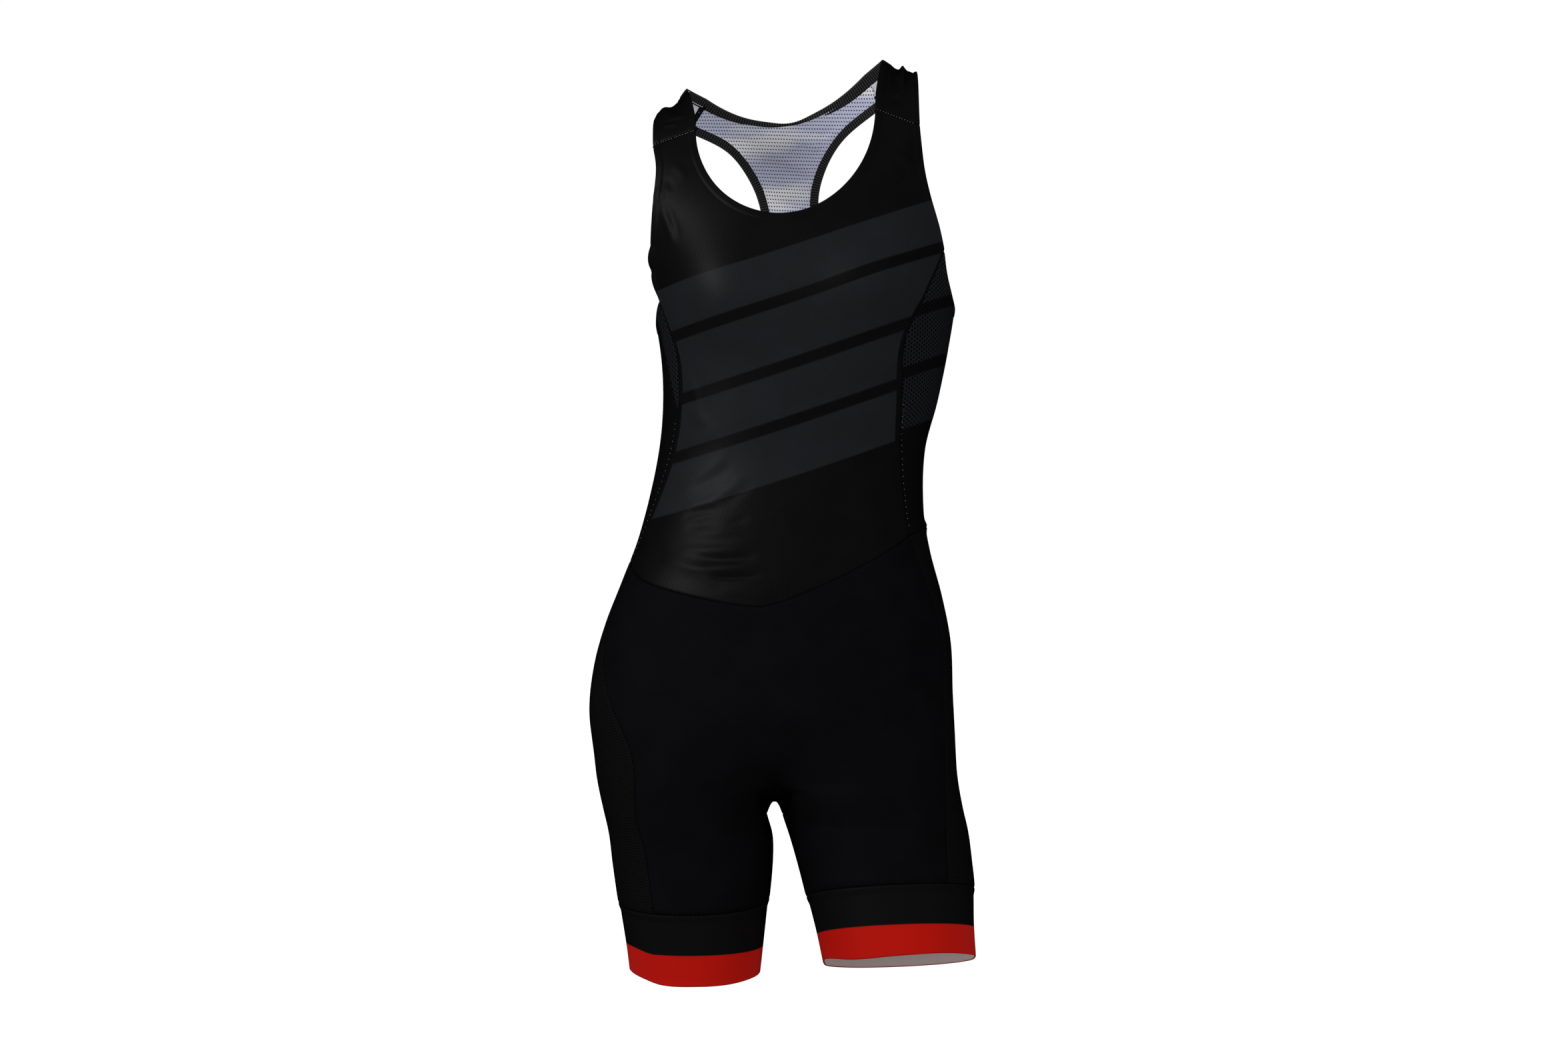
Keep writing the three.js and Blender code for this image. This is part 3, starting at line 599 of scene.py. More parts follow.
# Creases of the front and side panels: both ends, bow, width and height.
BODICE_CREASES = [
    # low on the right of the belly, where the cloth slackens above the waist seam
    (-92, -395, -58, -389, 2, 2.2, -1.5), (-94, -389, -52, -382, 2, 3.0, 1.2),
    (-90, -405, -62, -400, 1, 2.0, -1.3), (-54, -404, -32, -397, 1, 2.0, -1.1),
    (-84, -411, -40, -404, -2, 3.0, 1.0), (-80, -432, -26, -430, -2, 2.2, -1.9),
    (-96, -424, -30, -421, -2, 3.2, 1.3), (-70, -449, -22, -447, -1, 2.2, -1.7),
    (-90, -440, -24, -438, -2, 3.2, 1.3), (-112, -432, -60, -452, 2, 7.0, 1.2),
    (-60, -460, -5, -468, 3, 6.0, 0.8),
    # soft diagonals over the waist
    (-74, -382, -36, -360, -2, 4.0, 1.1), (-66, -386, -30, -366, -2, 3.0, -0.9),
    (-98, -366, -52, -340, -2, 5.0, 1.0), (-88, -372, -48, -349, -2, 3.5, -0.9),
    (-100, -330, -60, -318, -2, 4.0, 0.7), (20, -380, 84, -362, -4, 8.0, 0.6),
    (-98, -290, -66, -322, 3, 5.0, 0.8), (-92, -264, -78, -300, 2, 4.0, 0.8),
    # slack beside the right armhole, and the free edge that stands away in two low waves
    (-111, -118, -99, -155, 1, 3.5, 1.2), (-107, -116, -96, -150, 1, 3.2, -0.9),
    (-120, -108, -108, -112, 3, 3.0, 0.9), (-112, -96, -100, -104, 3, 3.0, -0.8),
    (-127, -152, -127, -172, 0, 9.0, 4.6), (-127, -176, -124, -198, 0, 8.0, 5.2),
    (-118, -150, -110, -185, 0, 5.0, -0.8), (-104, -80, -90, -96, 3, 5.0, 0.7),
    # under the left strap, and the swell over the bust
    (92, -68, 112, -84, 3, 4.0, 1.3), (94, -78, 108, -92, 3, 3.0, -1.1),
    (98, -60, 112, -64, 1, 3.0, 1.0), (116, -150, 104, -200, -3, 6.0, 0.9),
    (118, -152, 126, -124, 1, 3.5, 0.7),
    # the fullest part of the bust
    (-94, -120, -88, -250, 0, 28, 3.2), (-124, -40, -120, -165, 0, 30, 3.5),
    (80, -130, 78, -215, 0, 30, 2.5),
    # down the side panels
    (118, -190, 122, -215, 1, 4, 0.9), (108, -215, 118, -245, 2, 5, 0.8),
    (-108, -222, -118, -262, 2, 4, 1.0), (-112, -258, -104, -300, 2, 4, 0.8),
]


def front_relief(points, normals):
    """Hems, seams and the creases of the front."""
    height = turned(distance(points, neck_line))
    for side in SIDES:
        height += turned(distance(points, front_holes[side]))
        height += seamed(distance(points, princess[side]))
    ends = nearest(points, front_waist_line, *strap_front_line.values())
    return (height + seamed(ends) + worn(points)
            + step_up(ends, 1, 8) * creases(points, normals, "front", BODICE_CREASES))


def front_print(points, cloth):
    """Rise over the print's lines, and distance past the black margin of the side seams."""
    near = nearest(points, *princess.values())
    wide = mix(*PRINT["margin"], step_up(-points[:, 2], 190, 280))
    return {"rise": print_rise(points), "margin": near - wide}


def front_lining(points, normals):
    """Hem allowance inside the neckline and armholes, and the roll of white at its edge."""
    near = nearest(points, neck_line, *front_holes.values())
    allowance = HEM["inside"] * (1 - step_up(near, HEM["width"] - 0.3, HEM["width"] + 0.3))
    return allowance + turned_up(points, near)


WHITE_EDGE = {"outer": -100, "lowest": -92, "roll": 1.3, "wide": 3, "fade": (-96, -80)}


def shows_white(points):
    """True where the white back turns up at the edge: the right of the neckline, high up."""
    x, _, level = points.T
    return (x < 0) & (x > WHITE_EDGE["outer"]) & (level > WHITE_EDGE["lowest"])


def turned_up(points, near):
    """Extra roll of the white back at that edge, which fades out downwards."""
    rolled = WHITE_EDGE["roll"] * shows_white(points) * (1 - step_up(near, 0, WHITE_EDGE["wide"]))
    return rolled * step_up(points[:, 2], *WHITE_EDGE["fade"])


front = cut_piece("front_bodice_cloth", [front_band, front_block], False, front_relief,
                  [printed_knit, white_knit, printed_knit], mark=front_print,
                  lining=front_lining, pale=shows_white)
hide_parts("front_bodice")

# ---------------------------------------------------------------- side panels
# Two panels of open warp-knit mesh under the arms, from the turned underarm hem down to the
# waist, overlocked to the front along a curved seam and to the back along a straight one.

FRONT_TO_BACK_WAIST = (-424, -412)
UNDERARM_BACK = -212
# Underarm hems from the back seam (1) to the front seam (0): levels on both sides.
underarm = table("share left right", [
    (1, UNDERARM_BACK, UNDERARM_BACK),
    (0.7, -216, -216),
    (0.42, -210, -213),
    (0.22, -194, -207),
    (0, SEAM_TOP["left"], SEAM_TOP["right"]),
])


def back_seam(level):
    """Angle from the flank of the seam between a side panel and the back."""
    return read(seam_angles, "back", level)


def torso_seam(side, facing, level):
    """Angle from the flank of the seam at the front or the back of a side panel."""
    return front_seam(side, level) if facing == "front" else back_seam(level)


def side_net(side, c, top, bottom, v):
    """Side panel: c runs from the front seam to the back seam, v from the top to the bottom."""
    level = mix(top, bottom, v)
    return torso_net(from_flank(side, mix(front_seam(side, level), back_seam(level), c)), level)


def side_waist(c):
    """Level of the waist seam on the side."""
    return mix(*FRONT_TO_BACK_WAIST, c)


def mesh_cloth(tree, pitch, diagonal, hole, yarn, shade):
    """Net of holes: the sum of three cosines at 60 degrees peaks in a hexagonal layout, a pitch
    in millimetres apart. A hole begins where the sum passes a value and is full 1.2 above it.
    Returns the colour, mixed to the shade in the holes, and the holes."""
    place = node(tree, "UVMap", uv_map="cloth")
    waves = []
    for k in range(3):
        turn = np.radians(diagonal + 60 * k)
        step = 4000 * np.pi / (pitch * np.sqrt(3))
        across = node(tree, "VectorMath", [place, (step * np.cos(turn), step * np.sin(turn), 0)],
                      operation="DOT_PRODUCT")
        waves.append(node(tree, "Math", [across.outputs["Value"]], operation="COSINE"))
    two = node(tree, "Math", waves[:2], operation="ADD")
    total = node(tree, "Math", [two, waves[2]], operation="ADD")
    open_share = node(tree, "MapRange", {"Value": total, "From Min": hole, "From Max": hole + 1.2})
    colour = node(tree, "Mix", {0: open_share, 6: yarn, 7: linear(shade)}, data_type="RGBA")
    return colour.outputs[2], open_share


def pierced(tree, shader, colour, holes):
    """Gives the cloth its colour and sinks its holes, so that light falls into them."""
    sunk = node(tree, "Bump", {"Height": holes, "Strength": 0.6, "Distance": 0.0003}, invert=True)
    tree.links.new(colour, shader.inputs["Base Color"])
    tree.links.new(sunk.outputs[0], shader.inputs["Normal"])


# Printed warp-knit mesh: holes too small to see through, so each reads as a darker dot. They
# are about 2 mm apart on the real cloth and are drawn coarser, so that they show.
SIDE_MESH_PITCH = 3.7
side_mesh, tree, shader = cloth_material(
    "printed polyester warp-knit mesh", Roughness=0.6, Specular_IOR_Level=0.02)
pierced(tree, shader, *mesh_cloth(
    tree, SIDE_MESH_PITCH, 0, -0.3, dyed(tree, "#0d0d0f", "#1c1d20"), "#08080a"))

# Back of the same mesh: matt white yarn with grey holes, seen inside under the arms.
white_mesh, tree, shader = cloth_material(
    "unprinted back of warp-knit mesh", Roughness=0.85, Specular_IOR_Level=0.2)
pierced(tree, shader, *mesh_cloth(tree, SIDE_MESH_PITCH, 0, -0.3, linear("#cfced6"), "#8d8f99"))

# The seams bunch into a small nub where they cross at the left waist.
NUB = {"place": (124.0, -8.0, -404.0), "size": 4.5, "height": 3.0}


def nubbed(points):
    """Bell-shaped bump at the crossing of the seams."""
    return NUB["height"] * soft(np.linalg.norm(points - np.array(NUB["place"]), axis=1), NUB["size"])


# The print of the left panel lies a little higher than on the front. The right panel is slate in
# front of the flank, above a line given by a place and its slope, and black everywhere else.
PANEL_PRINT_LIFT = 8.0
RIGHT_SLATE = {"x": -107.5, "level": -256, "slope": 4.4}
SLATE_RISE, BLACK_RISE = (BARS[1] + BARS[2]) / 2, -100.0

back_line = {}
for side in SIDES:
    c, v = np.meshgrid(edged(44), edged(150, 0.5))
    net = side_net(side, c, read(underarm, side, c), side_waist(c), v)
    t = np.linspace(0, 1, 260)
    back_line[side] = side_net(side, 1.0 + 0 * t, UNDERARM_BACK, side_waist(1), t)[0]
    hole_line = side_net(side, t, read(underarm, side, t), side_waist(t), 0)[0]
    waist_line = side_net(side, t, read(underarm, side, t), side_waist(t), 1)[0]

    def side_relief(points, normals):
        """Seams at both long edges and the waist, a turned hem under the arm, and creases."""
        return (seamed(distance(points, princess[side])) + seamed(distance(points, back_line[side]))
                + turned(distance(points, hole_line)) + seamed(distance(points, waist_line))
                + worn(points) + creases(points, normals, "front", BODICE_CREASES) + nubbed(points))

    def side_rise(points, cloth):
        """Rise over the print's lines: the left panel's own; for the right one, a rise that gives
        slate or black.
        """
        if side == "left":
            return {"rise": print_rise(points, PANEL_PRINT_LIFT)}
        x, y, level = points.T
        above = level - RIGHT_SLATE["level"] + RIGHT_SLATE["slope"] * (x - RIGHT_SLATE["x"])
        return {"rise": np.where((above > 0) & (y < 0), SLATE_RISE, BLACK_RISE)}

    panel = cut_piece(f"side_panel_{side}_cloth", [net], side == "left", side_relief,
                      [side_mesh, white_mesh, side_mesh], mark=side_rise)
    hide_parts(f"side_panel_{side}")

# ---------------------------------------------------------------- back bodice
# The racerback is one cut piece of white eyelet mesh with a dark printed face: a yoke between
# the neck and the armholes, a narrow waist between the shoulder blades, and a block that flares
# to the side seams. Its cut neck and armhole edges are covered by the bindings.

YOKE_SHARE = 0.48
BACK_SEAM_TOP = -218
BACK_WAIST = {"centre": -402, "sides": -412}
BACK_NECK = {"panel": (76.6, -0.5, -29.5), "rim": (73, 5, -25), "bend": 2, "share": 0.37}
# Back armholes from the strap (1) past the yoke's narrowest place to the side seam (0): distance
# from the middle and level of the mesh's edge, and of the outer rim of its binding.
back_armhole = table("share panel_across panel_level rim_across rim_level", [
    (1, 88.4, -18.5, 92, -24),
    (0.82, 51, -42, 54.3, -47.5),
    (0.66, 29, -73, 34.8, -76),
    (YOKE_SHARE, 20.5, -108, 27, -108),
    (0.34, 25, -144, 31, -141),
    (0.2, 47, -178, 51, -172.5),
    (0.08, 84, -206, 86, -199.8),
    (0, 110, BACK_SEAM_TOP, 110.4, UNDERARM_BACK),
])


def across_at(angle, level):
    """Distance to the left of the middle of the torso point at an angle."""
    return oval(angle, *(read(torso_rings, k, level) for k in ("half", "front", "back")),
                TORSO_SQUARENESS)[0]


def back_neck(s, edge):
    """Back neck edge from left (0) to right (1): distance across and level. The steps over the
    yoke's narrow waist lie closer together than those over the armholes."""
    half, top, bottom = BACK_NECK[edge]
    from_end = np.minimum(s, 1 - s)
    share, ends = CHEST["share"], BACK_NECK["share"]
    along = np.where(from_end < share, from_end / share * ends,
                     mix(ends, 0.5, (from_end - share) / (0.5 - share)))
    return (half * (1 - 2 * along) * np.where(s < 0.5, 1, -1),
            mix(bottom, top, np.abs(2 * along - 1) ** BACK_NECK["bend"]))


def back_hole(share, edge):
    """Edge of the back armhole on the left, from the strap (1) to the side seam (0): angle and
    level of the panel's edge, or of the rim of its binding."""
    p, level = (read(back_armhole, edge + name, share) for name in ("_across", "_level"))
    return np.where(share <= 0, back_seam(level), angle_at(p, level, "back")), level


def back_band_edge(s):
    """Down the left armhole, across the yoke's narrow waist and up the right one: angle, level."""
    share = mix(1, YOKE_SHARE, np.clip(np.minimum(s, 1 - s) / CHEST["share"], 0, 1))
    hole, hole_level = back_hole(share, "panel")
    waist, waist_level = back_hole(np.array(YOKE_SHARE), "panel")
    c = np.clip((s - CHEST["share"]) / (1 - 2 * CHEST["share"]), 0, 1)
    middle = (s > CHEST["share"]) & (s < 1 - CHEST["share"])
    return (np.where(middle, mix(waist, -180 - waist, c), np.where(s < 0.5, hole, -180 - hole)),
            np.where(middle, waist_level, hole_level))


def back_waist(from_centre):
    """Level of the waist seam behind."""
    return mix(BACK_WAIST["centre"], BACK_WAIST["sides"], from_centre ** 2)


back_across = edged(110)
s, r = np.meshgrid(band_steps(edged(50, 0.5), back_across), edged(50))
p, top = back_neck(s, "panel")
angle, level = back_band_edge(s)
level_down = mix(top, level, r)
yoke = torso_net(angle_at(mix(p, across_at(angle, level), r), level_down, "back"), level_down)
c, v = np.meshgrid(back_across, edged(60, 0.5))
angle, level = back_hole(YOKE_SHARE * (1 - v), "panel")
flare = torso_net(mix(angle, -180 - angle, c), level)
c, v = np.meshgrid(back_across, edged(90))
level = mix(BACK_SEAM_TOP, back_waist(np.abs(2 * c - 1)), v)
back_block = torso_net(mix(back_seam(level), -180 - back_seam(level), c), level)

t = np.linspace(0, 1, 300)
back_neck_line = torso_at(*back_neck(t, "panel"), "back")
back_hole_line = {side: torso_side(side, *back_hole(t, "panel")) for side in SIDES}
level = back_waist(np.abs(2 * t - 1))
back_waist_line = torso(mix(back_seam(level), -180 - back_seam(level), t), level)

# Creases of the back, given as those of the front: over the yoke, then down to the waist.
BACK_CREASES = [
    (-2, -34, 52, -58, 0, 4, -1.3), (-20, -52, 30, -72, 0, 4, -1.2),
    (-24, -80, 24, -84, 2, 3, -1.0), (-60, -22, -24, -44, 2, 4, -1.2),
    (30, -40, 62, -26, 0, 4, 1.0), (-22, -98, 22, -104, 2, 4, 0.9),
    (-50, -190, -10, -235, 3, 9, 1.2), (50, -190, 10, -235, -3, 9, 1.2),
    (-70, -330, 20, -345, 6, 8, 0.9), (-40, -365, 60, -372, 5, 8, 0.9),
    (10, -300, 80, -318, 4, 9, 0.7),
]


def back_relief(points, normals):
    """Seams at the sides and waist, a slight pull-in at the bound edges, and soft folds."""
    bound = nearest(points, back_neck_line, *back_hole_line.values())
    return (seamed(distance(points, back_line["left"])) + seamed(distance(points, back_line["right"]))
            + seamed(distance(points, back_waist_line)) - 0.4 * soft(bound, 2.0)
            + worn(points) + step_up(bound, 5, 12) * creases(points, normals, "back", BACK_CREASES))


# Inside of the eyelet mesh: bright white yarn with blue-grey clouds, where the dark face shows
# through, laid in slanting streaks whose paler bands are painted sheen, and dark eyelets in
# slanting rows. The eyelets are about 1.5 mm apart on the real cloth and are drawn coarser, so
# that they show.
EYELET = {"across": 2.4, "down": 3.4, "slant": 8, "rows": 1.6, "from": 1.05, "full": 1.9}
eyelet_mesh, tree, shader = cloth_material(
    "white eyelet mesh", Roughness=0.8, Specular_IOR_Level=0.25)
place = node(tree, "UVMap", uv_map="cloth")
slant = node(tree, "VectorRotate", {"Vector": place, "Angle": np.radians(EYELET["slant"])},
             rotation_type="Z_AXIS")
radians_per_metre = [2000 * np.pi / EYELET[k] for k in ("across", "down")]
turns = node(tree, "VectorMath", [slant, (*radians_per_metre, 0)], operation="MULTIPLY")
axes = node(tree, "SeparateXYZ", [turns])
dots, rows = (node(tree, "Math", [axes.outputs[k]], operation="COSINE") for k in (0, 1))
strong_rows = node(tree, "Math", [rows, EYELET["rows"]], operation="MULTIPLY")
total = node(tree, "Math", [strong_rows, dots], operation="ADD")
holes = node(tree, "MapRange",
             {"Value": total, "From Min": EYELET["from"], "From Max": EYELET["full"]})
# Slanting streaks: blue-grey where the dark face shows through, with paler bands of painted sheen
# between.
place = node(tree, "TexCoord").outputs["Object"]
slope = node(tree, "Mapping",
             {"Vector": place, "Rotation": (0, np.radians(35), 0), "Scale": (9, 9, 34)})
cloud = node(tree, "TexNoise", {"Vector": slope, "Scale": 1.0, "Detail": 2.0})
show_through_and_sheen = node(tree, "MapRange", {"Value": cloud, "From Min": 0.42, "From Max": 0.58})
ground = node(tree, "Mix", {0: show_through_and_sheen, 6: linear("#f6f5f8"), 7: linear("#c3c7de")}, data_type="RGBA")
colour = node(tree, "Mix", {0: holes, 6: ground.outputs[2], 7: linear("#2e3248")}, data_type="RGBA")
pierced(tree, shader, colour.outputs[2], holes)

# Its face: printed black, so that its holes only just show. They too are drawn coarser.
dark_mesh, tree, shader = cloth_material(
    "printed face of eyelet mesh", Roughness=0.6, Specular_IOR_Level=0.02)
pierced(tree, shader, *mesh_cloth(tree, 2.2, EYELET["slant"], 0.2, linear("#141416"), "#08080a"))

back = cut_piece("back_bodice_cloth", [yoke, flare, back_block], True, back_relief,
                 [dark_mesh, eyelet_mesh, dark_mesh])
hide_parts("back_bodice")

# ---------------------------------------------------------------- shoulder straps
# Two short straps of the printed knit, faced with its white back, carry the front over the
# shoulders to the yoke: seamed to the front with a visible row of stitches, overlocked behind.

# How far each edge of a strap runs on past its front and its back seam before it turns over.
STRAP_RISE = {"left": {"inner": (44, 40), "outer": (69, 49)},
              "right": {"inner": (42, 38), "outer": (40, 36)}}
STRAP_LEAN = {"outward": 8, "up": 5}
STRAP_FLAT = {"wide": 40, "long": 95}
STRAP_WALL = 1.1
STRAP_TOP = 0.5
BINDING_SHARE = 0.19


def strap_point(side, w, t):
    """Each fibre of a strap is a cubic from the front seam (t 0) to the back seam (t 1) that
    leaves both along the body; w runs from the inner edge to the outer."""
    sign, lean = sign_of(side), STRAP_LEAN
    w, t = np.broadcast_arrays(np.asarray(w, float), np.asarray(t, float))
    angle, level = strap_seam(side, w.ravel())
    p, low = (mix(*(STRAP_SEAM["back"][e][k] for e in (0, 1)), w.ravel()) for k in (0, 1))
    start, end = torso(angle, level), torso_at(sign * p, low, "back")
    ahead = torso_at(across_at(angle, level), level + lean["up"], "front") - start
    behind = torso_at(sign * (p + lean["outward"]), low + lean["up"], "back") - end
    rise = STRAP_RISE[side]
    before, after = (mix(rise["inner"][k], rise["outer"][k], w.reshape(-1, 1)) for k in (0, 1))
    ahead = start + ahead / np.linalg.norm(ahead, axis=-1, keepdims=True) * before
    behind = end + behind / np.linalg.norm(behind, axis=-1, keepdims=True) * after
    t = t.reshape(-1, 1)
    curve = ((1 - t) ** 3 * start + 3 * (1 - t) ** 2 * t * ahead + 3 * (1 - t) * t ** 2 * behind
             + t ** 3 * end)
    return curve.reshape(*w.shape, 3)


# Height of the lumps over the top of each shoulder, from the outer edge (1) to the inner (0).
crown = table("share left right", [
    (1, 6.0, -1.5),
    (0.93, 3.4, 2.4),
    (0.86, 3.2, 4.0),
    (0.79, 3.6, 4.3),
    (0.72, 4.4, 3.2),
    (0.62, 6.8, 0.2),
    (0.53, 2.0, -1.6),
    (0.4, 1.5, -2.3),
    (0.25, 2.0, -1.0),
    (0.1, 3.5, 1.6),
    (0, 3.8, 2.0),
])


CROWN = {"at": 0.46, "reach": 0.2}


def strap(side, w, t):
    """Strap point with the lumps that worn cloth keeps over the top of the shoulder: a rise that
    differs from fibre to fibre, fading along each in a bell."""
    points = strap_point(side, w, t)
    points[..., 2] += read(crown, side, w) * soft(t - CROWN["at"], CROWN["reach"])
    return points


def strap_inner(t):
    """The strap's inner edge steps in behind the top, where the neck binding takes its place."""
    return BINDING_SHARE * step_up(t, STRAP_TOP, STRAP_TOP + 0.03)


# Creases over the tops of the straps, given as those of the front.
STRAP_CREASES = {
    "left": [(105.6, 20, 106.2, -6, 0.5, 1.6, 1.2), (98.6, 18, 97, -4, 1, 2.4, -1.3),
             (109.6, 14, 108, -6, -0.5, 1.6, -1.2), (94, -13, 105, -17, 1, 2.2, 1.1),
             (92, -19, 106, -23, 1, 2.0, -0.8), (114, 8, 113, -20, 1, 2.5, 0.6)],
    "right": [(-114, -45, -97, -42, 2, 1.8, 0.9), (-110, -36, -88, -34, 2, 2.0, 0.8),
              (-112, -40, -92, -38, 2, 1.8, -0.8), (-103, -16, -101, -34, 1, 2.2, -1.0),
              (-108, -18, -108, -34, 0, 2.4, 0.8), (-118, -30, -112, -52, -2, 2.5, 0.6)],
}
strap_back_line = {}
for side in SIDES:
    w, t = np.meshgrid(edged(60, 0.6), edged(130, 0.4))
    points = strap(side, mix(strap_inner(t), 1, w), t)
    cloth = np.stack([STRAP_FLAT["wide"] * w, STRAP_FLAT["long"] * t], -1)
    u = np.linspace(0, 1, 120)
    strap_back_line[side] = strap_point(side, mix(BINDING_SHARE, 1, u), np.ones(120))
    outer_line = strap(side, np.ones(120), u)
    inner_line = strap(side, strap_inner(u), u)

    def strap_relief(points, normals):
        """Turned outer edge and neck edge, seams at both ends, and the creases at the top."""
        return (seamed(distance(points, strap_front_line[side]))
                + seamed(distance(points, strap_back_line[side]))
                + 0.8 * turned(distance(points, outer_line))
                + 0.8 * turned(distance(points, inner_line))
                + worn(points) + creases(points, normals, "front", STRAP_CREASES[side]))

    def strap_lining(points, normals):
        """The white back turns up along the right strap's inner edge."""
        return turned_up(points, distance(points, inner_line))

    strap_cloth = cut_piece(f"shoulder_strap_{side}_cloth", [(points, cloth)], side == "right",
                            strap_relief, [printed_knit, white_knit, printed_knit], wall=STRAP_WALL,
                            lining=strap_lining, pale=shows_white)
    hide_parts(f"shoulder_strap_{side}")


def evened(path, step):
    """The same path with its pairs of points an even step apart."""
    middle = path.mean(1)
    length = np.r_[0, np.cumsum(np.linalg.norm(np.diff(middle, axis=0), axis=1))]
    at = np.linspace(0, length[-1], int(length[-1] / step) + 1)
    return np.stack([np.stack([np.interp(at, length, path[:, e, k]) for k in range(3)], -1)
                     for e in (0, 1)], 1)


def ribbed_strip(name, path, flip, material, slot, wall, pitch, rib, lift, sides=24, roll=None):
    """Strip along a path of pairs of points, from its inner to its outer edge: a flattened oval
    carried along the path, ribbed across at every pitch and closed at both ends. lift moves it
    along its outward normal. roll gives, for each share of the way along, the angle by which
    the section is turned outwards about its inner edge and the share of its wall that it has.
    Its cloth distances run along it, and from -3 at its inner edge to 3 at its outer edge."""
    path = evened(path, pitch / 4)
    inner, outer = path[:, 0], path[:, 1]
    along = np.gradient(path.mean(1), axis=0)
    along /= np.linalg.norm(along, axis=1, keepdims=True)
    width = np.linalg.norm(outer - inner, axis=1, keepdims=True)
    across = (outer - inner) / width
    up = np.cross(along, across) * (-1 if flip else 1)
    up /= np.linalg.norm(up, axis=1, keepdims=True)
    inner = inner + up * worn(inner)[:, None]
    if roll is not None:
        turn, thin = roll(np.linspace(0, 1, len(path)))
        wall = wall * thin[:, None, None]
        c, s = np.cos(np.radians(turn))[:, None], np.sin(np.radians(turn))[:, None]
        across, up = across * c + up * s, up * c - across * s
    length = np.arange(len(path)) * pitch / 4
    a = np.linspace(0, 2 * np.pi, sides + 1)[None, :, None]
    wide = np.sign(np.cos(a)) * np.abs(np.cos(a)) ** 0.5
    high = np.sign(np.sin(a)) * np.abs(np.sin(a)) ** 0.6
    groove = rib * (0.5 - 0.5 * np.cos(2 * np.pi * length / pitch))[:, None, None]
    middle = inner + across * width / 2 + up * lift
    points = (middle[:, None] + across[:, None] * width[:, None] / 2 * wide
              + up[:, None] * high * (wall / 2 - groove * np.abs(high)))
    v = np.broadcast_to(wide[..., 0], points.shape[:2])
    cloth = np.stack([np.broadcast_to(length[:, None], points.shape[:2]), 3 * v], -1)
    share = np.array([0, 0.5, 1])[:, None, None]
    ends = [(mix(points[k].mean(0), points[k], q), mix(cloth[k].mean(0), cloth[k], q))
            for k, q in ((0, share), (-1, share[::-1]))]
    found, cloth, quads = weld([ends[0], (points, cloth), ends[1]], flip)
    piece = make_mesh(name, found, quads, cloth, np.zeros(len(quads), int), [material])
    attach(piece, "root")
    return piece


# Overlock thread: three black yarns looped over the raw edges, matt and finely ridged.
overlock, tree, shader = cloth_material(
    "textured polyester overlock thread", Roughness=0.7, Specular_IOR_Level=0.08)
shader.inputs["Base Color"].default_value = linear("#101011")

# White cover-stitch thread, slightly bright: it shows as a row of dots on the black cloth.
white_thread, tree, shader = cloth_material(
    "white polyester stitch thread", Roughness=0.5, Specular_IOR_Level=0.4)
shader.inputs["Base Color"].default_value = linear("#9c9ca0")


def stitch_row(name, line, out, pitch, size, seed):
    """Row of short stitches: at every pitch along a line of points, a capsule of six sides, pointed
    at both ends, that lies along the line. Its place, lift and length vary a little."""
    rng = np.random.default_rng(seed)
    length = np.r_[0, np.cumsum(np.linalg.norm(np.diff(line, axis=0), axis=1))]
    at = np.arange(pitch / 2, length[-1], pitch)
    at = at + rng.uniform(-0.12, 0.12, len(at)) * pitch
    place, before, after = (np.stack([np.interp(at + step, length, line[:, k]) for k in range(3)], -1)
                            for step in (0, -0.5, 0.5))
    place = place + out * rng.uniform(0.0, 0.25, (len(at), 1))
    direction = after - before
    direction /= np.linalg.norm(direction, axis=1, keepdims=True)
    across = np.cross(direction, out)
    across /= np.linalg.norm(across, axis=1, keepdims=True)
    upward = np.cross(across, direction)
    long, thick = size[0] * rng.uniform(0.75, 1.15, len(at)), size[1]
    a = np.linspace(0, 2 * np.pi, 7)[None, None, :, None]
    ring = np.array([0, 0.75, 1, 0.75, 0])[None, :, None, None] * thick / 2
    along = np.array([-0.5, -0.36, 0, 0.36, 0.5])[None, :, None, None] * long[:, None, None, None]
    points = (place[:, None, None] + direction[:, None, None] * along
              + across[:, None, None] * ring * np.cos(a) + upward[:, None, None] * ring * np.sin(a))
    points, cloth, quads = weld([(p, np.zeros((*p.shape[:2], 2))) for p in points], True)
    piece = make_mesh(name, points, quads, cloth, np.zeros(len(quads), int), [white_thread])
    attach(piece, "root")
    return piece


# The side and strap seams are overlocked inside, in a flat black ridge. The threads are 0.8 mm
# apart on the real seam and are drawn at about twice that, so that they show.
OVERLOCK = {"wall": 1.4, "pitch": 1.8, "rib": 0.3, "lift": -1.9, "sides": 10}
# Half the width of the ridge: in degrees round the torso at the sides, in height at the straps.
RIDGE = {"side": 1.1, "strap": 2.4}
for side in SIDES:
    ends = {"front": (SEAM_TOP[side] - 3, FRONT_TO_BACK_WAIST[0]),
            "back": (UNDERARM_BACK - 2, FRONT_TO_BACK_WAIST[1])}
    for place, (top, bottom) in ends.items():
        level = np.linspace(top, bottom, 200)
        angle = torso_seam(side, place, level)
        path = np.stack([torso_side(side, angle + sign * RIDGE["side"], level)
                         for sign in (1, -1)], 1)
        ribbed_strip(f"side_overlock_{place}_{side}", path, side == "right", overlock, "side_mesh",
                     **OVERLOCK)
    angle, level = strap_seam(side, np.linspace(0.01, 0.99, 60))
    path = np.stack([torso(angle, level + sign * RIDGE["strap"]) for sign in (1, -1)], 1)
    ribbed_strip(f"strap_front_overlock_{side}", path, side == "left", overlock, "bodice_knit",
                 **OVERLOCK)


def outward_of(line, lift):
    """The line moved away from the torso's axis by a lift, and that direction at each point."""
    axis = np.stack([read(torso_rings, "x", line[:, 2]), 0 * line[:, 0], line[:, 2]], -1)
    away = line - axis
    away /= np.linalg.norm(away, axis=1, keepdims=True)
    return line + away * lift, away


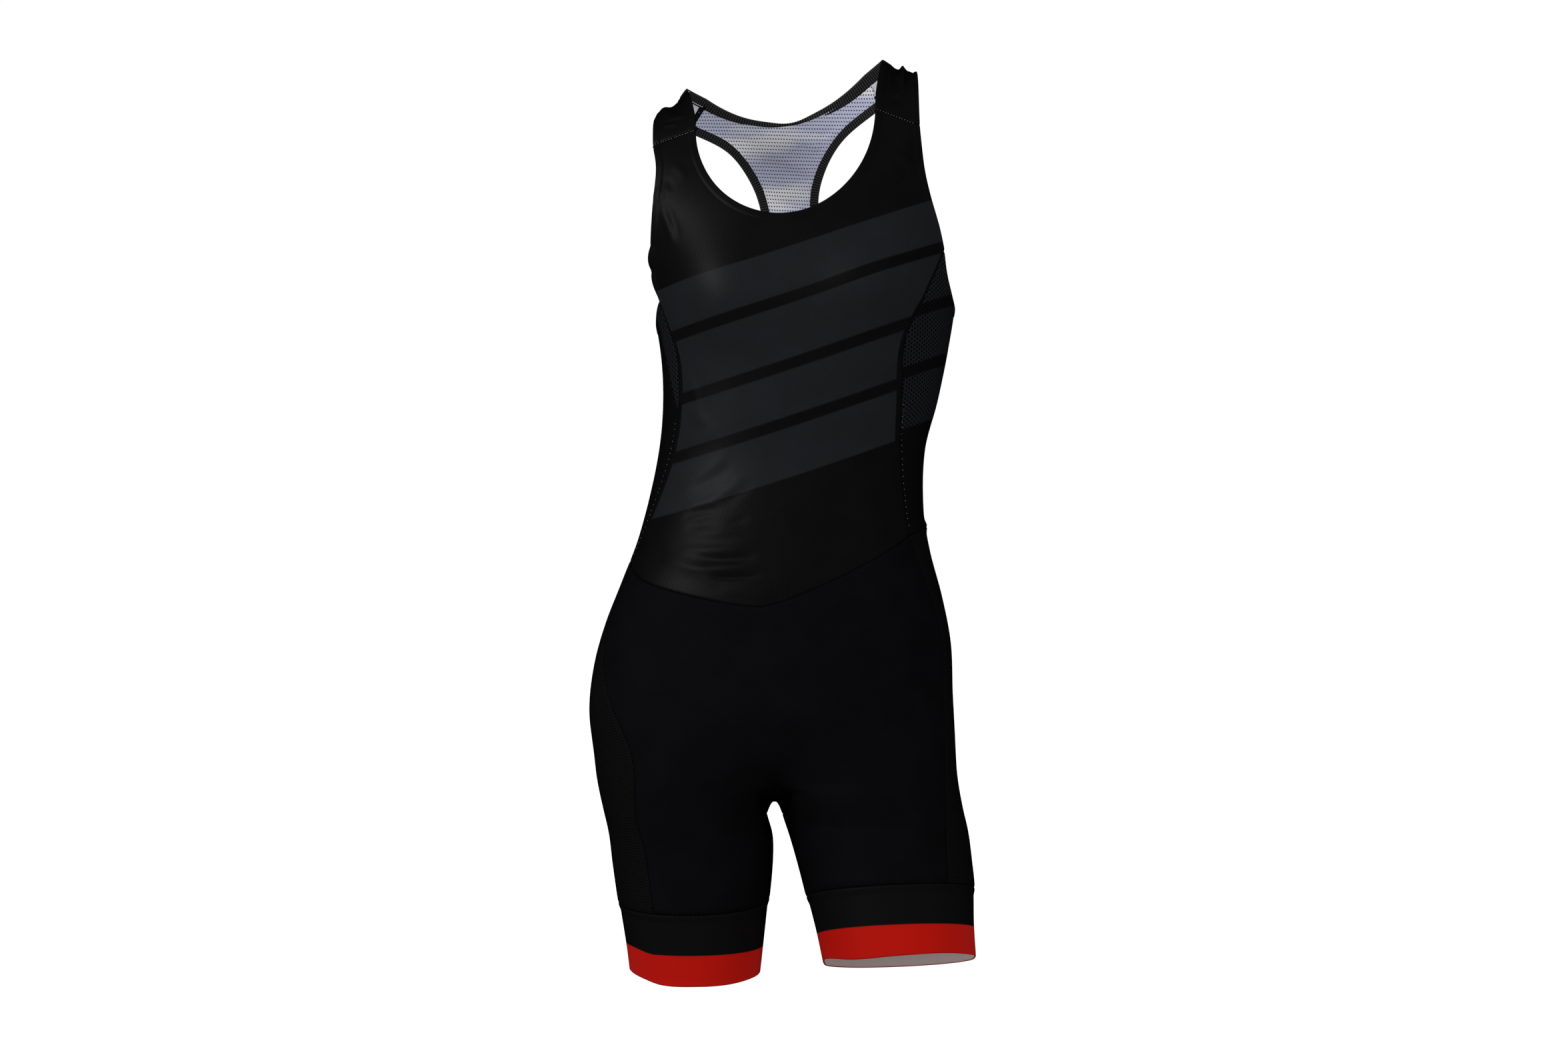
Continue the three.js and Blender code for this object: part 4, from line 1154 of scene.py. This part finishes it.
# White stitches show just below the front strap seams and sparsely down the side seams. Behind,
# the overlock crosses the whole right strap and the outer part of the left one.
SIDE_STITCHES = (-300, -420)
for side in SIDES:
    line = torso(*strap_seam(side, np.linspace(0.02, 0.98, 60)))
    line[:, 2] -= 0.9
    line, away = outward_of(line, 0.35)
    stitch_row(f"strap_stitches_{side}", line, away.mean(0), 2.6, (0.9, 0.4),
               seed={"left": 3, "right": 4}[side])
    t = np.array([0.976, 1.0])
    w = np.linspace({"left": 0.55, "right": 0}[side], 1, 60)[:, None]
    edge = strap_point(side, mix(BINDING_SHARE, 1, w) + 0 * t, t + 0 * w)
    path = np.stack([edge[:, 0], 2 * edge[:, 1] - edge[:, 0]], 1)
    ribbed_strip(f"strap_overlock_{side}", path, side == "right", overlock, "bodice_knit",
                 wall=1.5, pitch=1.6, rib=0.3, lift=-1.3, sides=12)

    level = np.linspace(*SIDE_STITCHES, 200)
    line, away = outward_of(torso_side(side, front_seam(side, level) - 0.3, level), 0.1)
    stitch_row(f"side_stitches_{side}", line, away.mean(0), 5.5, (0.8, 0.4),
               seed={"left": 5, "right": 6}[side])

# ---------------------------------------------------------------- bindings
# Ribbed elastic, folded over the cut neck and armhole edges of the mesh and sewn through. It
# stands a little proud of the mesh on both faces.

# The ribs are 1.2 mm apart on the real elastic and are drawn at twice that, so that they show.
BINDING = {"wall": 2.8, "pitch": 2.4, "rib": 0.4, "lift": -0.45}
# Share of its width by which a binding reaches further over the cloth. At the neck it is more on
# the left than on the right, and fades to nothing at the middle.
REACH = {"armhole": 0.25, "neck_right": 0.45, "neck_left": 0.85, "fade": 46}

# Ribbed elastic: matt black yarn with paler gaps between the ribs, a painted brownish-grey sheen
# on the outer layer along the folded edge and a painted black shadow along the sewn one, each
# from and to a place across it.
elastic, tree, shader = cloth_material(
    "ribbed elastic binding", Roughness=0.6, Specular_IOR_Level=0.08)
place = node(tree, "SeparateXYZ", [node(tree, "UVMap", uv_map="cloth")])
turns = node(tree, "Math", [place.outputs[0], 2000 * np.pi / BINDING["pitch"]], operation="MULTIPLY")
gap = node(tree, "MapRange", {"Value": node(tree, "Math", [turns], operation="COSINE"),
                              "From Min": 0.2, "From Max": -0.7})
dye = node(tree, "Mix", {0: gap, 6: linear("#121212"), 7: linear("#3c3c3c")}, data_type="RGBA")
# Painted sheen in brownish grey along the folded edge, painted shadow in black along the sewn edge.
for start, full, shade in ((0.0021, 0.0026, "#3a332f"), (-0.0024, -0.0027, "#0a0a0a")):
    edge = node(tree, "MapRange", {"Value": place.outputs[1], "From Min": start, "From Max": full})
    dye = node(tree, "Mix", {0: edge, 6: dye.outputs[2], 7: linear(shade)}, data_type="RGBA")
tree.links.new(dye.outputs[2], shader.inputs["Base Color"])


def widened(path, share):
    """The strip reaches further over the cloth that it binds, by a share of its width."""
    inner, outer = path[:, 0], path[:, 1]
    return np.stack([inner + (inner - outer) * share, outer], 1)


t = np.linspace(STRAP_TOP, 1, 120)
over = {side: np.stack([strap(side, 0 * t + BINDING_SHARE, t), strap(side, 0 * t, t)], 1)
        for side in SIDES}
s = np.linspace(0, 1, 900)
behind = np.stack([torso_at(*back_neck(s, edge), "back") for edge in ("panel", "rim")], 1)
neck_path = np.concatenate([over["left"][:-1], behind, over["right"][::-1][1:]])
middle = soft(np.linalg.norm(neck_path[:, 0] - behind[len(s) // 2, 0], axis=1), REACH["fade"])
reach = mix(REACH["neck_right"], REACH["neck_left"], step_up(neck_path[:, 0, 0], -20, 20))
neck_path = widened(neck_path, (reach * (1 - middle))[:, None])


def neck_roll(share):
    """The middle of the neck binding rolls outwards, by 80 degrees at most, and is pulled thin."""
    middle = soft(share - 0.5, 0.09)
    return 80 * middle, 1 - 0.35 * middle


neck_binding = ribbed_strip("back_neck_binding_cloth", neck_path, False, elastic, "elastic",
                            roll=neck_roll, **BINDING)
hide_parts("back_neck_binding")
for side in SIDES:
    share = np.linspace(1, 0, 700)
    path = np.stack([torso_side(side, *back_hole(share, edge)) for edge in ("panel", "rim")], 1)
    path = widened(path, REACH["armhole"])
    strip = ribbed_strip(f"armhole_binding_{side}_cloth", path, side == "left", elastic, "elastic",
                         **BINDING)
    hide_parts(f"armhole_binding_{side}")

# The stitches that hold the left armhole's binding show white along its upper edge, inside.
share = np.linspace(0.98, 0.4, 300)
line, rim = (torso_side("left", *back_hole(share, edge)) for edge in ("panel", "rim"))
line, away = outward_of(line + (line - rim) * REACH["armhole"], -2.0)
stitch_row("armhole_stitches_left", line, -away.mean(0), 2.6, (0.9, 0.5), seed=7)

# ---------------------------------------------------------------- shorts
# A front and a back, each one cut piece over both legs, of dense matt knit: from the waist seam
# past the hips and the fork to the hem bands, with a curved edge that meets the gusset.

HIP_LEVEL, THIGH_LEVEL = -560, -680
BAND_LEVELS = {"left": (-737, -798), "right": (-744, -811)}
LEG_SQUARENESS = 2.15
CROTCH = {"x": -11, "y": 0, "level": -655, "drop": 12}
GUSSET = {"from": 60, "end": 14.5, "middle": 7, "wide": 28, "long": 130}
INNER_EDGE = {"front": 0.6, "corner": 0.7}
# Each leg is an oval at each level about its own middle, tipped by its pitch and its roll.
LEG_COLUMNS = "level x y half front back pitch roll"
leg_rings = {
    "left": table(LEG_COLUMNS, [
        (-560, 68, 0, 86, 96, 110, 0, 0),
        (-620, 71, 0, 84, 92, 102, 0.02, 0),
        (-661, 78, -2, 83, 86, 92, 0.07, 0.01),
        (-686, 84.5, -5, 81.5, 82, 87, 0.12, 0.02),
        (-710, 89.5, -9, 79.5, 80, 84, 0.17, 0.03),
        (-737, 94.5, -14, 77, 78, 80, 0.21, 0.05),
        (-768, 98.5, -20, 73, 75, 77, 0.22, 0.04),
        (-798, 102.3, -26.6, 70.3, 72.8, 74.8, 0.22, 0.04),
    ]),
    "right": table(LEG_COLUMNS, [
        (-560, -93, 0, 86, 96, 110, 0, 0),
        (-620, -93, 0, 81, 90, 100, 0, 0),
        (-661, -92, 0, 75, 82, 88, 0, 0),
        (-686, -87, 0, 75, 78, 83, -0.02, 0),
        (-710, -85.5, 0, 73.5, 75, 79, -0.05, -0.01),
        (-744, -84.5, 0, 69.5, 71, 74, -0.10, -0.02),
        (-786, -83.7, 0, 64, 65, 68, -0.02, -0.01),
        (-811, -83.7, 0, 61, 62, 66, 0, 0),
    ]),
}
# Angles round each leg, in degrees, of the front seams of both sides and of the back seams.
leg_seam_angles = table("level left right back", [
    (-560, 29, 42, -24),
    (-620, 35, 52, -22),
    (-660, 41, 56, -20),
    (-700, 48, 59, -22),
    (-745, 52, 61, -24),
])


def leg(side, angle, level):
    """Point of a leg ring: angle 0 is the outer side, 90 the front, 180 the inner, -90 the back.
    The ring is an oval about the leg's middle, tipped by its pitch and its roll."""
    angle, level = np.broadcast_arrays(np.asarray(angle, float), np.asarray(level, float))
    x, y, half, front, back, pitch, roll = (
        read(leg_rings[side], k, level) for k in ("x", "y", "half", "front", "back", "pitch", "roll"))
    p, q = oval(angle, half, front, back, LEG_SQUARENESS)
    return np.stack([x + sign_of(side) * p, y - q, level + pitch * q + roll * p], -1)


def leg_seam(side, facing, level):
    """Angle round a leg of the seam between a side panel and the front or back."""
    return read(leg_seam_angles, side if facing == "front" else "back", level)


def middle_angle(side, facing, level):
    """Angle from a flank to the middle of the front or the back of the shorts."""
    if facing == "back":
        return -90 + 0 * level
    return 90 + sign_of(side) * (front_seam("left", level) - front_seam("right", level)) / 2


def crotch_path(side, facing, k):
    """Inner edge of the shorts from the hips (0), down the middle, round the gusset's end and
    under to the fork (1): a quarter ellipse that spreads to the gusset's half width."""
    front_end, corner = INNER_EDGE["front"], INNER_EDGE["corner"]
    spread = np.clip((k - front_end) / (corner - front_end), 0, 1)
    under = np.maximum((k - corner) / (1 - corner), 0)
    turn = np.radians(np.where(k < front_end, k / front_end * GUSSET["from"],
                               mix(GUSSET["from"], 90, under)))
    hip = torso_side(side, middle_angle(side, facing, HIP_LEVEL), HIP_LEVEL)
    half = mix(GUSSET["end"], GUSSET["middle"], under ** 2)
    level = mix(hip[..., 2], CROTCH["level"], np.sin(turn)) - CROTCH["drop"] * under ** 2
    return np.stack([mix(hip[..., 0], CROTCH["x"], np.sin(turn)) + sign_of(side) * spread * half,
                     mix(CROTCH["y"], hip[..., 1], np.cos(turn)), level], -1)


def inner_edge(side, facing, h):
    """Inner edge past the hips: the crotch path, then down the inside of the leg, drawn to it."""
    fork = CROTCH["level"] - CROTCH["drop"]
    top, start = crotch_path(side, facing, np.ones(1)), leg(side, 180, fork)
    low = np.clip(h - 2, 0, 1)
    along = leg(side, 180, mix(fork, BAND_LEVELS[side][0], low))
    below = along + (top - start) * ((1 - low) ** 3)[..., None]
    return np.where((h <= 2)[..., None], crotch_path(side, facing, np.clip(h - 1, 0, 1)), below)


def shorts_level(side, waist, h):
    """Level at height step h: waist seam (0), hips (1), fork (2), hem band (3)."""
    return np.where(h <= 1, mix(waist, HIP_LEVEL, np.clip(h, 0, 1)),
                    np.where(h <= 2, mix(HIP_LEVEL, THIGH_LEVEL, np.clip(h - 1, 0, 1)),
                             mix(THIGH_LEVEL, BAND_LEVELS[side][0], np.clip(h - 2, 0, 1))))


def blended(side, h, level, torso_angle, leg_angle):
    """Point that passes smoothly from the torso ring to the leg ring below the hips."""
    share = step_up(h, 1, 2)[..., None]
    return torso_side(side, torso_angle, level) * (1 - share) + leg(side, leg_angle, level) * share


def shorts_point(side, facing, c, h):
    """Point of the front or back of the shorts: c runs from the middle to the side seam."""
    waist = front_waist(c) if facing == "front" else back_waist(c)
    level = shorts_level(side, waist, h)
    inseam = 180 if facing == "front" else -180

    def base(share):
        """Point at a share of the way from the middle or inseam to the seam."""
        return blended(side, h, level,
                       mix(middle_angle(side, facing, level), torso_seam(side, facing, level), share),
                       mix(inseam, leg_seam(side, facing, level), share))

    pull = ((1 - c) ** 3 * (h > 1))[..., None]
    return base(c) + (inner_edge(side, facing, h) - base(0 * c)) * pull


SHORTS_STEPS = np.r_[edged(46, 0.5), 1 + edged(66, 0)[1:], 2 + edged(34, -0.4)[1:]]


def chords(points):
    """Distance along each row of a grid of points, as a sum of chords."""
    return np.cumsum(np.linalg.norm(np.diff(points, axis=1, prepend=points[:, :1]), axis=-1), 1)


def shorts_net(side, facing):
    """Grid of one half of the front or back with cloth distances round from the middle, and down."""
    c, h = np.meshgrid(edged(56), SHORTS_STEPS)
    points = shorts_point(side, facing, c, h)
    return points, np.stack([sign_of(side) * chords(points), points[..., 2]], -1)


c, h = np.linspace(0, 1, 200), np.linspace(0, 3, 500)
shorts_lines = {}
for facing in ("front", "back"):
    for side in SIDES:
        shorts_lines[facing, side] = {
            "side": shorts_point(side, facing, 1 + 0 * h, h),
            "waist": shorts_point(side, facing, c, 0 * c),
            "band": shorts_point(side, facing, c, 3 + 0 * c),
            "fork": crotch_path(side, facing, np.linspace(INNER_EDGE["front"], 1, 80)),
            "inseam": inner_edge(side, facing, np.linspace(2, 3, 100)),
        }

# Dense matt knit: almost without gloss, in a faintly blue black. Its rows are about 0.5 mm apart
# and are drawn at twice that. Short gathers stand along the seam of the hem bands.
PUCKER = {"pitch": 3.6, "reach": 9}
shorts_knit, tree, shader = cloth_material(
    "dense matt polyamide knit", Roughness=0.7, Specular_IOR_Level=0.025)
dye = cloudy(tree, linear("#0a0a0c"), "#0f0f13", 30.0, 0.4)
tree.links.new(dye, shader.inputs["Base Color"])
rib = knitted(tree, 1.1, 0.9, 0.25, 0.05)
place = node(tree, "SeparateXYZ", [node(tree, "UVMap", uv_map="cloth")])
turns = node(tree, "Math", [place.outputs[0], 2000 * np.pi / PUCKER["pitch"]], operation="MULTIPLY")
near = node(tree, "Attribute", attribute_name="pucker").outputs["Fac"]
gathers = node(tree, "Math", [turns], operation="SINE")
height = node(tree, "Math", [gathers, near], operation="MULTIPLY")
pucker = node(tree, "Bump", {"Height": height, "Strength": 0.8, "Distance": 0.0006, "Normal": rib})
tree.links.new(pucker.outputs[0], shader.inputs["Normal"])

for facing in ("front", "back"):
    nets = [shorts_net(side, facing) for side in SIDES]
    # the columns of one half are turned round, so that the quads of both halves face outwards
    half = 1 if facing == "front" else 0
    nets[half] = tuple(grid[:, ::-1] for grid in nets[half])

    def shorts_relief(points, normals):
        """Seams along every edge."""
        lines = [line for side in SIDES for line in shorts_lines[facing, side].values()]
        return seamed(nearest(points, *lines)) + worn(points)

    def puckered(points, cloth):
        """How much the hem band's seam gathers the cloth: all at the seam, none a reach above."""
        near = nearest(points, *(shorts_lines[facing, side]["band"] for side in SIDES))
        return {"pucker": 1 - step_up(near, 1, PUCKER["reach"])}

    shorts = cut_piece(f"shorts_{facing}_cloth", nets, True, shorts_relief,
                       [shorts_knit, shorts_knit, shorts_knit], mark=puckered)
    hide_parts(f"shorts_{facing}")

# ---------------------------------------------------------------- crotch gusset
# A small almond of the same knit under the fork, overlocked to all four inner edges of the
# shorts, so that no two seams cross there. It is arched upwards between the legs.


def gusset_point(k, v, facing):
    """Saddle between the two crotch paths: v from the right path to the left, arched upwards."""
    right, left = (crotch_path(side, facing, k) for side in ("right", "left"))
    points = mix(right, left, v[..., None])
    arch = CROTCH["drop"] * ((k - INNER_EDGE["corner"]) / (1 - INNER_EDGE["corner"])) ** 2
    points[..., 2] += arch * 4 * v * (1 - v)
    return points


v, u = np.meshgrid(edged(30), edged(60, 0.5))
saddle = np.concatenate([gusset_point(mix(INNER_EDGE["corner"], 1, u), v, "front")[:-1],
                         gusset_point(mix(1, INNER_EDGE["corner"], u), v, "back")])
rows = np.linspace(0, GUSSET["long"], len(saddle))
columns = GUSSET["wide"] * v[0]
gusset_net = (saddle, np.stack(np.broadcast_arrays(columns[None, :], rows[:, None]), -1))
fork_lines = [lines["fork"] for lines in shorts_lines.values()]


def gusset_relief(points, normals):
    """Seams along the edges."""
    return seamed(nearest(points, *fork_lines)) + worn(points)


gusset = cut_piece("crotch_gusset_cloth", [gusset_net], True, gusset_relief,
                   [shorts_knit, shorts_knit, shorts_knit])
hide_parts("crotch_gusset")

# ---------------------------------------------------------------- leg side panels
# Panels of finer mesh down the outside of the hips and of both legs, from the waist seam to the
# hem bands, overlocked to the front and the back of the shorts along two curved seams.


def leg_side_point(side, c, h):
    """Point of a leg side panel: c runs from the front seam to the back seam."""
    level = shorts_level(side, side_waist(c), h)
    return blended(side, h, level, mix(front_seam(side, level), back_seam(level), c),
                   mix(leg_seam(side, "front", level), leg_seam(side, "back", level), c))


# Fine warp-knit mesh: a shade paler than the shorts, with holes that read as a grain. They are
# about 1.2 mm apart on the real cloth and are drawn at twice that, so that they show.
leg_mesh, tree, shader = cloth_material(
    "fine warp-knit mesh", Roughness=0.6, Specular_IOR_Level=0.02)
pierced(tree, shader, *mesh_cloth(tree, 2.6, 20, -0.2, linear("#111112"), "#060607"))

for side in SIDES:
    c, h = np.meshgrid(edged(44), SHORTS_STEPS)
    points = leg_side_point(side, c, h)
    net = (points, np.stack([chords(points), points[..., 2]], -1))
    c, h = np.linspace(0, 1, 80), np.linspace(0, 3, 500)
    edges = [leg_side_point(side, 0 * h, h), leg_side_point(side, 0 * h + 1, h),
             leg_side_point(side, c, 0 * c), leg_side_point(side, c, 0 * c + 3)]

    def leg_side_relief(points, normals):
        """Seams along every edge, and the nub at the waist."""
        return seamed(nearest(points, *edges)) + worn(points) + nubbed(points)

    panel = cut_piece(f"leg_side_panel_{side}_cloth", [net], side == "left", leg_side_relief,
                      [leg_mesh, leg_mesh, leg_mesh])
    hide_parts(f"leg_side_panel_{side}")

# ---------------------------------------------------------------- hem bands
# A wide band of firm elastic knit round each thigh, printed black above and red below. It draws
# in just under its seam, and its lower edge is cut clean.

BAND_STEP = {"in": 1.4, "by": 8}
BAND_WALL = 1.3
BAND_CUT = {"round": 1.0, "in": 0.5}
# Neither hem hangs level in front: the right one also rides up on the outside. The line between
# black and red is level, but for a short rise on the outside of the right leg.
hem_dip = {
    "left": table("x front", [(167, 1.2), (140, 1.4), (99, 0), (59, -1), (32, 3.6)]),
    "right": table("x front", [(-20, 0), (-50, -4), (-80, -5), (-112, -4.5), (-130, -0.5),
                               (-146, 3.6)]),
}
RED_LEVEL = {"left": -771.5, "right": -786.5}
RED_RISE = {"left": 0.0, "right": 5.0, "from": -118, "to": -143}

# Printed elastic knit: firm and matt, its red as clear as its black. Its rows are about 0.6 mm
# apart and are drawn coarser, so that they show.
hem_red, tree, shader = cloth_material(
    "printed elastic hem knit", Roughness=0.55, Specular_IOR_Level=0.03)
share = node(tree, "Attribute", attribute_name="below").outputs["Fac"]
step = node(tree, "MapRange", {"Value": share, "From Min": -0.4, "From Max": 0.4})
dye = node(tree, "Mix", {0: step, 6: linear("#0f0f10"), 7: linear("#b3140b")}, data_type="RGBA")
tree.links.new(dye.outputs[2], shader.inputs["Base Color"])
tree.links.new(knitted(tree, 1.5, 0.9, 0.3, 0.06).outputs[0], shader.inputs["Normal"])

# Back of the same knit: white yarn that the red has tinged.
pale_hem, tree, shader = cloth_material(
    "unprinted back of hem knit", Roughness=0.85, Specular_IOR_Level=0.2)
shader.inputs["Base Color"].default_value = linear("#f6e4e2")

for side in SIDES:
    top, hem = BAND_LEVELS[side]
    # angles run from the inner side over the front and the outside to the back
    angle, v = np.meshgrid(180 - 360 * np.linspace(0, 1, 221), edged(48, 0.3))
    level = mix(top, hem, v)
    front = step_up(np.sin(np.radians(angle)), -0.3, 0.3)
    level = level + read(hem_dip[side], "front", leg(side, angle, level)[..., 0]) * front * v ** 1.5
    points = leg(side, angle, level)
    inward = leg(side, angle + 180, level) - points
    inward /= np.linalg.norm(inward, axis=-1, keepdims=True)
    drawn_in = BAND_STEP["in"] * step_up(v * (top - hem), 0, BAND_STEP["by"])
    points = points + inward * drawn_in[..., None]
    net = (points, np.stack([chords(points), level - top], -1))
    seam_line, cut_line = points[0], points[-1]

    def band_relief(points, normals):
        """Seam at the top, slightly rounded cut edge at the bottom."""
        rounding = np.clip(1 - distance(points, cut_line) / BAND_CUT["round"], 0, 1) ** 2
        return seamed(distance(points, seam_line)) - BAND_CUT["in"] * rounding + worn(points)

    def below(points, cloth):
        """Distance below the line between black and red, down the cloth."""
        level = top + cloth[:, 1]
        rise = RED_RISE[side] * (1 - step_up(points[:, 0], RED_RISE["to"], RED_RISE["from"]))
        return {"below": RED_LEVEL[side] + rise - level}

    band = cut_piece(f"hem_band_{side}_cloth", [net], side == "left", band_relief,
                     [hem_red, pale_hem, hem_red], wall=BAND_WALL, mark=below)
    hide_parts(f"hem_band_{side}")

# ---------------------------------------------------------------- floor, light and camera
# A plain pale floor that runs on into a white room. The main light is high on the wearer's
# right, a weaker one fills in from the left, and a faint one from behind lifts the edges. The
# camera looks level at the middle from 2.7 m in front.

MIDDLE = mathutils.Vector((0, 0, -0.4))


def soft_box(name, place, size, watts, gloss):
    """Area light at a place, aimed at the middle; with no gloss it makes no highlights."""
    lamp = bpy.data.lights.new(name, "AREA")
    lamp.shape = "RECTANGLE"
    lamp.size, lamp.size_y = size
    lamp.energy = watts
    box = bpy.data.objects.new(name, lamp)
    bpy.context.scene.collection.objects.link(box)
    box.location = place
    box.visible_glossy = gloss
    box.rotation_euler = (MIDDLE - mathutils.Vector(place)).to_track_quat("-Z", "Y").to_euler()


soft_box("key", (-2.0, -1.75, 0.6), (1.0, 1.2), 39, True)
soft_box("fill", (1.9, -1.9, 0.5), (0.9, 1.3), 22, False)
soft_box("back", (0.4, 2.6, 0.8), (2.0, 2.0), 8, False)

FLOOR = {"half": 15.0, "below": 0.16}
floor_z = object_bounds()[0][2] - FLOOR["below"]
corners = [(x * FLOOR["half"], y * FLOOR["half"], floor_z)
           for x, y in ((-1, -1), (1, -1), (1, 1), (-1, 1))]
mesh = bpy.data.meshes.new("floor")
mesh.from_pydata(corners, [], [(0, 1, 2, 3)])
floor = bpy.data.objects.new("floor", mesh)
bpy.context.scene.collection.objects.link(floor)
floor.visible_diffuse = floor.visible_glossy = False

# Matt floor paint, lit so evenly that it shows neither its edge nor a shadow.
floor_paint, tree, shader = cloth_material(
    "pale floor paint", Roughness=0.9, Specular_IOR_Level=0.1, Emission_Color=(1, 1, 1, 1),
    Emission_Strength=0.97)
shader.inputs["Base Color"].default_value = linear("#909090")
mesh.materials.append(floor_paint)

# The room is pure white to look at, and lights the cloth at less than half of that.
world = bpy.data.worlds.new("studio")
bpy.context.scene.world = world
world.use_nodes = True
sky = world.node_tree
glow = sky.nodes["Background"]
glow.inputs["Color"].default_value = (1, 1, 1, 1)
seen = node(sky, "LightPath").outputs["Is Camera Ray"]
strength = node(sky, "MapRange", {"Value": seen, "To Min": 0.42, "To Max": 1.0})
sky.links.new(strength.outputs[0], glow.inputs["Strength"])
world.cycles_visibility.glossy = False
bpy.context.scene.view_settings.view_transform = "Standard"

lens = bpy.data.cameras.new("camera")
lens.lens, lens.sensor_width = 67.75, 36
camera = bpy.data.objects.new("camera", lens)
camera.location = (-0.0024, -2.7, -0.4002)
camera.rotation_euler = (np.pi / 2, 0, 0)
bpy.context.scene.collection.objects.link(camera)
bpy.context.scene.camera = camera
